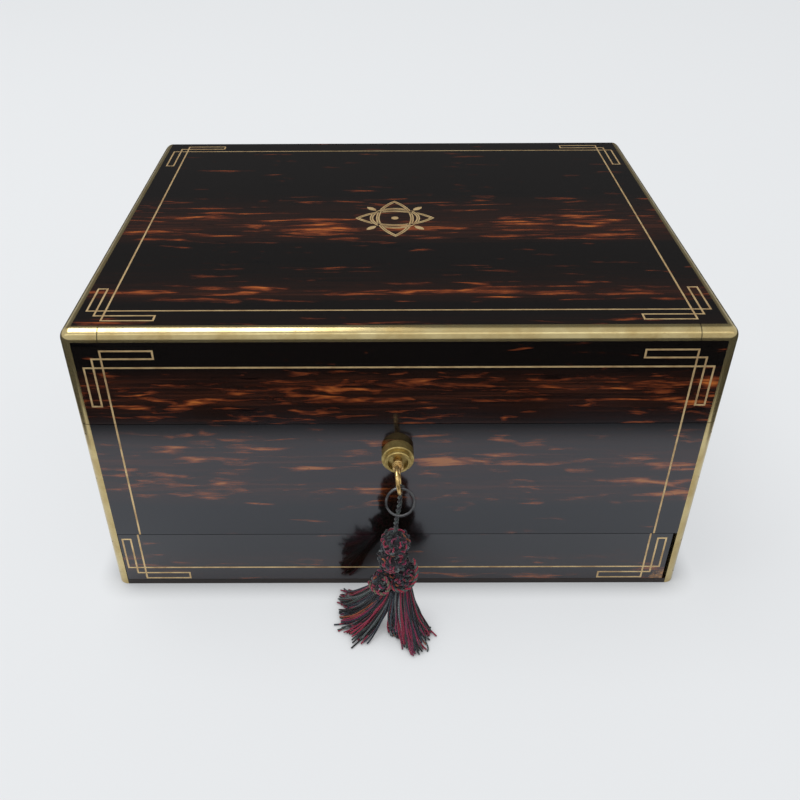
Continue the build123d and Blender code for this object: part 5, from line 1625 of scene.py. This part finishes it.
@dataclass(frozen=True)
class Tassel:
    """A knob over a cluster of yarn knots, and two skirts of strands that lie on the floor.

    A place is written as X, Y from plane, and Z; a lump as X, Y from plane, Z from top, and radius. A
    skirt has four rows, from root to tip: the middle strand's place, and what is added to it times u,
    times u squared and times w, where u and w run from -1 to 1 across the skirt and through it. In the
    right skirt's left half, right_short draws each row back in Y by a half wave.
    """

    plane: float = -144.0
    top: float = 59.0
    lumps: tuple = (
        (-1.1, 0.0, -7.7, 7.7), (-2.2, 0.2, -18.5, 8.2), (4.0, -0.4, -29.5, 6.6),
        (-8.0, -0.4, -34.5, 6.0), (-0.5, 1.0, -35.0, 7.0),
    )
    core_in: float = 1.1
    tufts: int = 125
    tuft_radius: float = 0.48
    tuft_foot: float = 1.8
    right_binding: tuple = (
        (7.6, -3.5, 43.0), (11.2, -4.5, 38.0), (11.0, -6.0, 27.0),
        (6.0, -8.0, 22.0), (-2.0, -7.5, 22.5), (-4.0, -5.0, 27.0),
    )
    left_binding: tuple = (
        (-6.5, -5.0, 32.0), (-3.0, -7.0, 28.0), (-3.0, -7.0, 21.0),
        (-7.5, -7.5, 19.0), (-13.5, -5.5, 20.5), (-14.5, -2.0, 26.0),
    )
    binding_dyes: tuple = ("#a3243c", "#4c5a55", "#98324a", "#6b6a50")
    left_skirt: tuple = (
        ((-5.3, -1.5, 20.0), (2.2, -4.2, 0.0), (0.0, 0.0, 0.0), (0.0, 0.0, 3.0)),
        ((-9.3, -2.5, 14.5), (5.6, -6.0, 0.0), (0.0, 1.5, -1.5), (0.0, 0.0, 4.2)),
        ((-15.8, -3.0, 2.6), (6.0, -10.5, 0.0), (0.3, 2.5, 0.0), (0.0, 0.0, 2.0)),
        ((-27.2, -2.5, 1.6), (4.2, -17.0, 0.0), (5.4, -1.0, 0.0), (0.0, 0.0, 1.1)),
    )
    left_short: tuple = (0.0, 0.0, 0.0, 0.0)
    right_skirt: tuple = (
        ((2.5, -2.0, 20.0), (4.6, 1.4, 0.0), (0.0, 0.0, 0.0), (0.0, 0.0, 3.0)),
        ((2.7, -8.0, 15.0), (6.1, 1.6, 0.0), (0.0, 0.0, -1.5), (0.0, 0.0, 4.2)),
        ((3.8, -15.5, 2.6), (8.2, 1.5, 0.0), (0.0, 5.5, 0.0), (0.0, 0.0, 2.0)),
        ((6.0, -25.0, 1.6), (10.2, 1.0, 0.0), (0.8, 11.5, 0.0), (0.0, 0.0, 1.1)),
    )
    right_short: tuple = (0.0, 0.0, 3.5, 6.0)
    strands: int = 165
    strand_radius: float = 0.43
    strand_steps: int = 26
    uneven: float = 0.24
    ankle_stray: float = 1.3
    tip_stray: float = 0.9
    bow_line: tuple = (
        (5.0, -12.0, 8.0), (6.0, -20.0, 1.5), (4.0, -30.0, 0.5),
        (9.5, -35.0, 0.5), (7.0, -24.0, 1.0), (10.0, -16.0, 3.5),
    )
    left_stray: tuple = (
        (-16.0, -4.0, 6.0), (-20.0, -8.0, 2.5), (-24.0, -9.0, 0.6),
        (-27.0, -10.0, 0.5), (-29.0, -12.0, 0.5), (-30.5, -13.0, 0.5),
    )
    right_stray: tuple = (
        (10.0, -14.0, 5.0), (13.0, -17.0, 2.5), (14.0, -20.0, 0.7),
        (15.5, -22.0, 0.5), (16.0, -24.0, 0.5), (15.0, -26.0, 0.5),
    )
    bow_dyes: tuple = ("#8a2444", "#b81f3c", "#4a5553")
    seed: int = 41

    def build(self) -> list[bpy.types.Object]:
        """Makes the head and the two skirts.

        Returns:
            The pieces, for the cord they hang on.
        """
        chance = np.random.default_rng(self.seed)
        wool = SpunYarn("spun_dyed_wool").make()
        head = joined("tassel_knots", [self.cores(), self.loops(chance), self.binding()])
        place(head, wool, "tassel", "tassel_yarn", "tassel_head")
        left = self.fan("tassel_skirt_left", chance, self.left_skirt, self.left_short)
        right = self.fan("tassel_skirt_right", chance, self.right_skirt, self.right_short)
        skirts = joined("tassel_fans", [left, right, self.bow()])
        place(skirts, wool, "tassel", "tassel_yarn", "tassel_skirts")
        return [head, skirts]

    def balls(self) -> tuple[np.ndarray, np.ndarray]:
        """The knots.

                Returns:
                    Their middles, and their radii.
        """
        table = np.array(self.lumps)
        middles = np.stack([table[:, 0], self.plane + table[:, 1], self.top + table[:, 2]], -1)
        return middles, table[:, 3]

    def cores(self) -> bpy.types.Object:
        """Dark wound balls under the loops.

        Each is a sphere whose radius ripples with the sine of twelve times its latitude plus five
        times its longitude.

        Returns:
            The balls as one piece.
        """
        middles, radii = self.balls()
        rise = np.linspace(-math.pi / 2, math.pi / 2, 40)[:, None]
        turn = np.linspace(0, TAU, 48, endpoint=False)[None]
        ripple = 1 + 0.03 * np.sin(12 * rise + 5 * turn)
        level = np.cos(rise) * ripple
        shell = np.stack([level * np.cos(turn), level * np.sin(turn), np.sin(rise) * ripple], -1)
        grids = middles[:, None, None] + (radii[:, None, None, None] - self.core_in) * shell[None]
        colour = np.broadcast_to(np.array(linear("#19121a")), (*grids.shape[:3], 4))
        slant = np.broadcast_to((8 * rise + 3 * turn)[None], grids.shape[:3])
        return surface("tassel_cores", grids, (False, True), {"dye": colour, "slant": slant})

    def loops(self, chance: np.random.Generator) -> bpy.types.Object:
        """Small loops, spread evenly over each ball by the golden angle.

        A loop runs out along the ball's radius by a sine, and along its surface by a cosine.

        Args:
            chance: the seeded numbers.

        Returns:
            All the loops.
        """
        middles, radii = self.balls()
        count = self.tufts
        number = np.arange(count) + 0.5
        high = np.arccos(1 - 2 * number / count)
        round_ = math.pi * (1 + math.sqrt(5)) * number
        out = np.stack([np.cos(round_) * np.sin(high), np.sin(round_) * np.sin(high), np.cos(high)], -1)
        out = unit(out[None] + chance.normal(0, 0.08, (len(radii), count, 3))).reshape(-1, 3)
        middle = np.repeat(middles, count, 0)
        foot = np.repeat(radii, count)[:, None, None] - self.tuft_foot
        along = unit(np.cross(out, chance.normal(0, 1, out.shape)))
        across = np.cross(out, along)
        bend = np.linspace(0, math.pi, 9)[None, :, None]
        reach = chance.uniform(0.8, 1.5, (len(out), 1, 1))
        lift = chance.uniform(0.8, 1.7, (len(out), 1, 1))
        lean = chance.uniform(-1.0, 1.0, (len(out), 1, 1))
        paths = middle[:, None] + out[:, None] * (foot + lift * np.sin(bend))
        paths = paths + along[:, None] * reach * np.cos(bend) + across[:, None] * lean * np.sin(bend)
        return yarn("tassel_loops", paths, self.tuft_radius, Dye.pick(chance, len(out)), 6, across)

    def placed(self, *rows: tuple) -> np.ndarray:
        """Rows of places, each with Y counted from plane, as one array."""
        return np.array(rows) + [0.0, self.plane, 0.0]

    def binding(self) -> bpy.types.Object:
        """The thick twisted strands that bind the right and the left knot.

        Returns:
            The strands as one piece.
        """
        lines = bent(self.placed(self.right_binding, self.left_binding), 90)
        away = (0.0, 1.0, 0.05)
        strands = np.concatenate([plied(line, away, 0.42, 4.2) for line in lines])
        dyes = np.array([linear(colour) for colour in self.binding_dyes])
        return yarn("tassel_binding", strands, 0.47, dyes, 8, np.tile(away, (len(strands), 1)))

    def controls(self, skirt: tuple, short: tuple, u: np.ndarray, w: np.ndarray) -> np.ndarray:
        """Control points of a skirt's strands: each row's own sum, and the half wave.

        Args:
            skirt: the skirt's four rows.
            short: how far the half wave draws each row back.
            u: each strand's place across the skirt.
            w: each strand's place through it.

        Returns:
            Points as an array of strand, row and coordinate.
        """
        factors = np.stack([np.ones_like(u), u, u ** 2, w], -1)
        points = np.einsum("sk,rkc->src", factors, np.array(skirt))
        half_wave = np.sin(math.pi * np.clip(-u, 0, 1))
        points[..., 1] += self.plane + half_wave[:, None] * np.array(short)
        return points

    def fan(
        self, name: str, chance: np.random.Generator, skirt: tuple, short: tuple,
    ) -> bpy.types.Object:
        """One skirt: strands of uneven length, each with its own slow wave that grows to the tip.

        Args:
            name: the skirt's name.
            chance: the seeded numbers.
            skirt: the skirt's four rows.
            short: how far the half wave draws each row back.

        Returns:
            The strands.
        """
        count, steps = self.strands, self.strand_steps
        u = np.sign(chance.uniform(-1, 1, count)) * chance.uniform(0, 1, count) ** 0.8
        w = chance.uniform(-1, 1, count)
        points = self.controls(skirt, short, u, w)
        run = points[:, 3] - points[:, 2]
        longer = chance.normal(0.0, self.uneven, (count, 1))
        tip_stray = chance.normal(0, self.tip_stray, (count, 3))
        points[:, 3] += run * longer + tip_stray * [1, 1, 0]
        points[:, 2] += chance.normal(0, self.ankle_stray, (count, 3)) * [1, 1, 0.3]
        paths = bent(points, steps)
        t = np.linspace(0, 1, steps)[None]
        side = unit(np.cross(run, [0.0, 0.0, 1.0]))
        rate = chance.uniform(4, 9, (count, 1))
        start = chance.uniform(0, TAU, (count, 1))
        wave = t ** 1.5 * np.sin(rate * t + start)
        paths = paths + wave[..., None] * side[:, None]
        paths[..., 2] = np.maximum(paths[..., 2], self.strand_radius + 0.03)
        away = np.tile([0.0, 0.0, 1.0], (count, 1)) + 0.3 * side
        return yarn(name, paths, self.strand_radius, Dye.pick(chance, count), 6, away)

    def bow(self) -> bpy.types.Object:
        """A strand that ends in a bow at the right skirt's tip, and a stray end beside each skirt.

        Returns:
            The three strands as one piece.
        """
        paths = bent(self.placed(self.bow_line, self.left_stray, self.right_stray), 60)
        dyes = np.array([linear(colour) for colour in self.bow_dyes])
        return yarn("tassel_bow", paths, 0.4, dyes, 6, np.tile([0.1, 0.1, 1.0], (len(paths), 1)))


# ---- studio ----
@dataclass(frozen=True)
class Studio:
    """A pale floor, a soft overhead light, and the camera.

    The camera's place is eye, and look and right are directions. The floor is pale to pale_to beyond
    the box's half sizes, and dark from dark_from. In polish the sky's level falls from sheen to gloom
    where the direction's share along gloom_way passes from the first of gloom_at to the second, and a
    strip of the level strip rises at strip_rise degrees.
    """

    eye: tuple = (-0.00811, -0.45570, 0.35692)
    look: tuple = (-0.00379, 0.80989, -0.58656)
    right: tuple = (0.99999, 0.00133, -0.00462)
    lens: float = 39.21
    shift: tuple = (0.028, 0.0149)
    sensor: float = 36.0
    clip: float = 0.01
    floor: str = "#e7e9eb"
    far_floor: str = "#1c1d1f"
    floor_half: float = 6000.0
    half: tuple = (152.5, 123.0)
    pale_to: float = 122.0
    dark_from: float = 152.0
    even: float = 0.74
    shown: float = 0.35
    contact: float = 13.0
    under: float = 0.0
    fill: float = 0.78
    sheen: float = 0.85
    gloom: float = 0.085
    gloom_at: tuple = (0.62, 0.86)
    gloom_way: tuple = (0.0, 0.81, 0.587)
    strip: float = 1.35
    strip_rise: float = 50.0
    strip_half: tuple = (0.02, 0.13)
    strip_from: tuple = (0.3, 0.5)
    lamp_at: tuple = (-0.72, 0.04, 2.2)
    lamp_size: tuple = (1.6, 1.2)
    lamp_to: tuple = (0.0, -0.02, 0.06)
    lamp_power: float = 30.0

    def build(self) -> None:
        """Sets up the floor, the world, the lamp and the camera."""
        self.lay_floor()
        self.light_world()
        self.hang_lamp()
        self.stand_camera()
        bpy.context.scene.view_settings.view_transform = "Standard"

    def lay_floor(self) -> None:
        """One large level sheet whose mirror image in polish ends a hand's breadth beyond the box."""
        line = np.array([-self.floor_half, self.floor_half])
        x, y = np.meshgrid(line, line, indexing="ij")
        floor = surface("floor_sheet", np.stack([x, y, np.zeros_like(x)], -1)[None], (False, False))
        material, tree = blank("pale_paper_floor")
        spot = node(tree, "TexCoord").outputs["Object"]
        away = node(tree, "VectorMath", {0: spot}, operation="ABSOLUTE")
        half = (self.half[0] * MM, self.half[1] * MM, 0.0)
        edge = node(tree, "VectorMath", {0: away.outputs[0], 1: half}, operation="SUBTRACT")
        axes = node(tree, "SeparateXYZ", {0: edge.outputs[0]})
        out = node(tree, "Math", {0: axes.outputs[0], 1: axes.outputs[1]}, operation="MAXIMUM")
        limits = {"From Min": self.pale_to * MM, "From Max": self.dark_from * MM}
        fade = node(
            tree, "MapRange", {"Value": out.outputs[0], **limits}, interpolation_type="SMOOTHSTEP",
        )
        ray = node(tree, "LightPath")
        polish = self.in_polish(tree, ray)
        seen = node(tree, "Math", {0: fade.outputs[0], 1: polish}, operation="MULTIPLY")
        tones = {6: linear(self.floor), 7: linear(self.far_floor)}
        colour = node(tree, "Mix", {0: seen.outputs[0], **tones}, data_type="RGBA")
        paper = node(tree, "BsdfPrincipled", {
            "Base Color": colour.outputs[2], "Roughness": 0.9, "Specular IOR Level": 0.1,
        })
        # Painted contact shadow: ambient occlusion within the contact distance dims the floor's glow next to
        # the box.
        near = node(tree, "AmbientOcclusion", {"Distance": self.contact * MM}, samples=8)
        shade = node(tree, "MapRange", {"Value": near.outputs["AO"], "To Min": self.under, "To Max": 1.0})
        even = node(tree, "Emission", {"Color": colour.outputs[2], "Strength": shade.outputs[0]})
        direct = node(tree, "Math", {0: ray.outputs["Is Camera Ray"], 1: self.even}, operation="MULTIPLY")
        share = node(tree, "Math", {0: polish, 1: self.shown, 2: direct.outputs[0]}, operation="MULTIPLY_ADD")
        both = node(tree, "MixShader", {0: share.outputs[0], 1: paper.outputs[0], 2: even.outputs[0]})
        node(tree, "OutputMaterial", {"Surface": both.outputs[0]})
        floor.data.materials.append(material)

    def in_polish(self, tree: bpy.types.NodeTree, ray: bpy.types.Node) -> bpy.types.NodeSocket:
        """One in polish and metal, and none in clear glass and in the looking glass, whose rays are singular.

        Args:
            tree: the node tree.
            ray: its light path node.

        Returns:
            The socket that says so.
        """
        blurred = node(tree, "Math", {0: 1.0, 1: ray.outputs["Is Singular Ray"]}, operation="SUBTRACT")
        glossy = ray.outputs["Is Glossy Ray"]
        return node(tree, "Math", {0: glossy, 1: blurred.outputs[0]}, operation="MULTIPLY").outputs[0]

    def light_world(self) -> None:
        """White to the camera, and an even fill for cloth and wood.

        In polish it is a bright sky with a dark part behind the box, where the direction's share along
        a line up and back is above a level.
        """
        world = bpy.data.worlds.new("studio_world")
        bpy.context.scene.world = world
        world.use_nodes = True
        tree = world.node_tree
        tree.nodes.clear()
        ray = node(tree, "LightPath")
        way = node(tree, "TexCoord").outputs["Generated"]
        along = node(tree, "VectorMath", {0: way, 1: self.gloom_way}, operation="DOT_PRODUCT")
        bright, dark = self.gloom_at
        limits = {"From Min": bright, "From Max": dark, "To Min": self.sheen, "To Max": self.gloom}
        sky_level = node(
            tree, "MapRange", {"Value": along.outputs["Value"], **limits},
            interpolation_type="SMOOTHSTEP",
        )
        level = self.window(tree, way, sky_level.outputs[0])
        polish = self.in_polish(tree, ray)
        dim = node(tree, "MapRange", {"Value": polish, "To Min": self.fill, "To Max": level})
        camera = ray.outputs["Is Camera Ray"]
        shown = node(tree, "MapRange", {"Value": camera, "To Min": dim.outputs[0], "To Max": 1.0})
        sky = node(tree, "Background", {"Color": linear(self.floor), "Strength": shown.outputs[0]})
        node(tree, "OutputWorld", {"Surface": sky.outputs[0]})

    def window(
        self, tree: bpy.types.NodeTree, way: bpy.types.NodeSocket, sky: bpy.types.NodeSocket,
    ) -> bpy.types.NodeSocket:
        """Adds a level bright strip high in front, which draws a line of light along rounded brass.

        The strip is where the direction lies near the plane through X that rises by the strip's angle,
        in front and above: its share along that plane's normal is under the strip's half breadth.

        Args:
            tree: the world's node tree.
            way: the direction.
            sky: the sky's level without the strip.

        Returns:
            The level with the strip.
        """
        rise = math.radians(self.strip_rise)
        normal = (0.0, math.sin(rise), math.cos(rise))
        off = node(tree, "VectorMath", {0: way, 1: normal}, operation="DOT_PRODUCT")
        off = node(tree, "Math", {0: off.outputs["Value"]}, operation="ABSOLUTE")
        inner, outer = self.strip_half
        limits = {"From Min": inner, "From Max": outer, "To Min": self.strip, "To Max": 0.0}
        band = node(
            tree, "MapRange", {"Value": off.outputs[0], **limits}, interpolation_type="SMOOTHSTEP",
        )
        high = node(tree, "SeparateXYZ", {0: way}).outputs[2]
        low, full = self.strip_from
        above = node(tree, "MapRange", {"Value": high, "From Min": low, "From Max": full})
        terms = {0: band.outputs[0], 1: above.outputs[0], 2: sky}
        return node(tree, "Math", terms, operation="MULTIPLY_ADD").outputs[0]

    def hang_lamp(self) -> None:
        """Hangs a wide soft lamp over the box, well to the left, that faces its middle."""
        data = bpy.data.lights.new("overhead_softbox", "AREA")
        data.shape = "RECTANGLE"
        data.size, data.size_y = self.lamp_size
        data.energy = self.lamp_power
        lamp = bpy.data.objects.new("overhead_softbox", data)
        bpy.context.collection.objects.link(lamp)
        lamp.location = self.lamp_at
        aim = Vector(self.lamp_to) - lamp.location
        lamp.rotation_euler = aim.to_track_quat("-Z", "Y").to_euler()

    def stand_camera(self) -> None:
        """Turns the camera so that its axes are the right, up and look directions."""
        data = bpy.data.cameras.new("camera")
        data.lens = self.lens
        data.sensor_width = self.sensor
        data.shift_x, data.shift_y = self.shift
        data.clip_start = self.clip
        camera = bpy.data.objects.new("camera", data)
        bpy.context.collection.objects.link(camera)
        look, right = Vector(self.look).normalized(), Vector(self.right).normalized()
        up = right.cross(look)
        turn = Matrix((right, up, -look)).transposed().to_4x4()
        camera.matrix_world = Matrix.Translation(self.eye) @ turn
        bpy.context.scene.camera = camera


def main() -> None:
    """Builds the studio, the cord and its tassel, the split ring, then the box and its fittings."""
    logging.basicConfig(level=logging.INFO, format="%(name)s: %(message)s")
    Studio().build()
    hanging = HangingCord()
    cord = hanging.build()
    hanging.declare(Tassel().build())
    SplitRing().build()
    fittings = (LockAndHinges(), MirrorPanel(), Linings(), ToiletJars(), ManicureTools())
    for part in (Carcass(), KnotEngraving(), *fittings):
        part.build()
        LOG.info("finished %s", type(part).__name__)


if __name__ == "__main__":
    main()
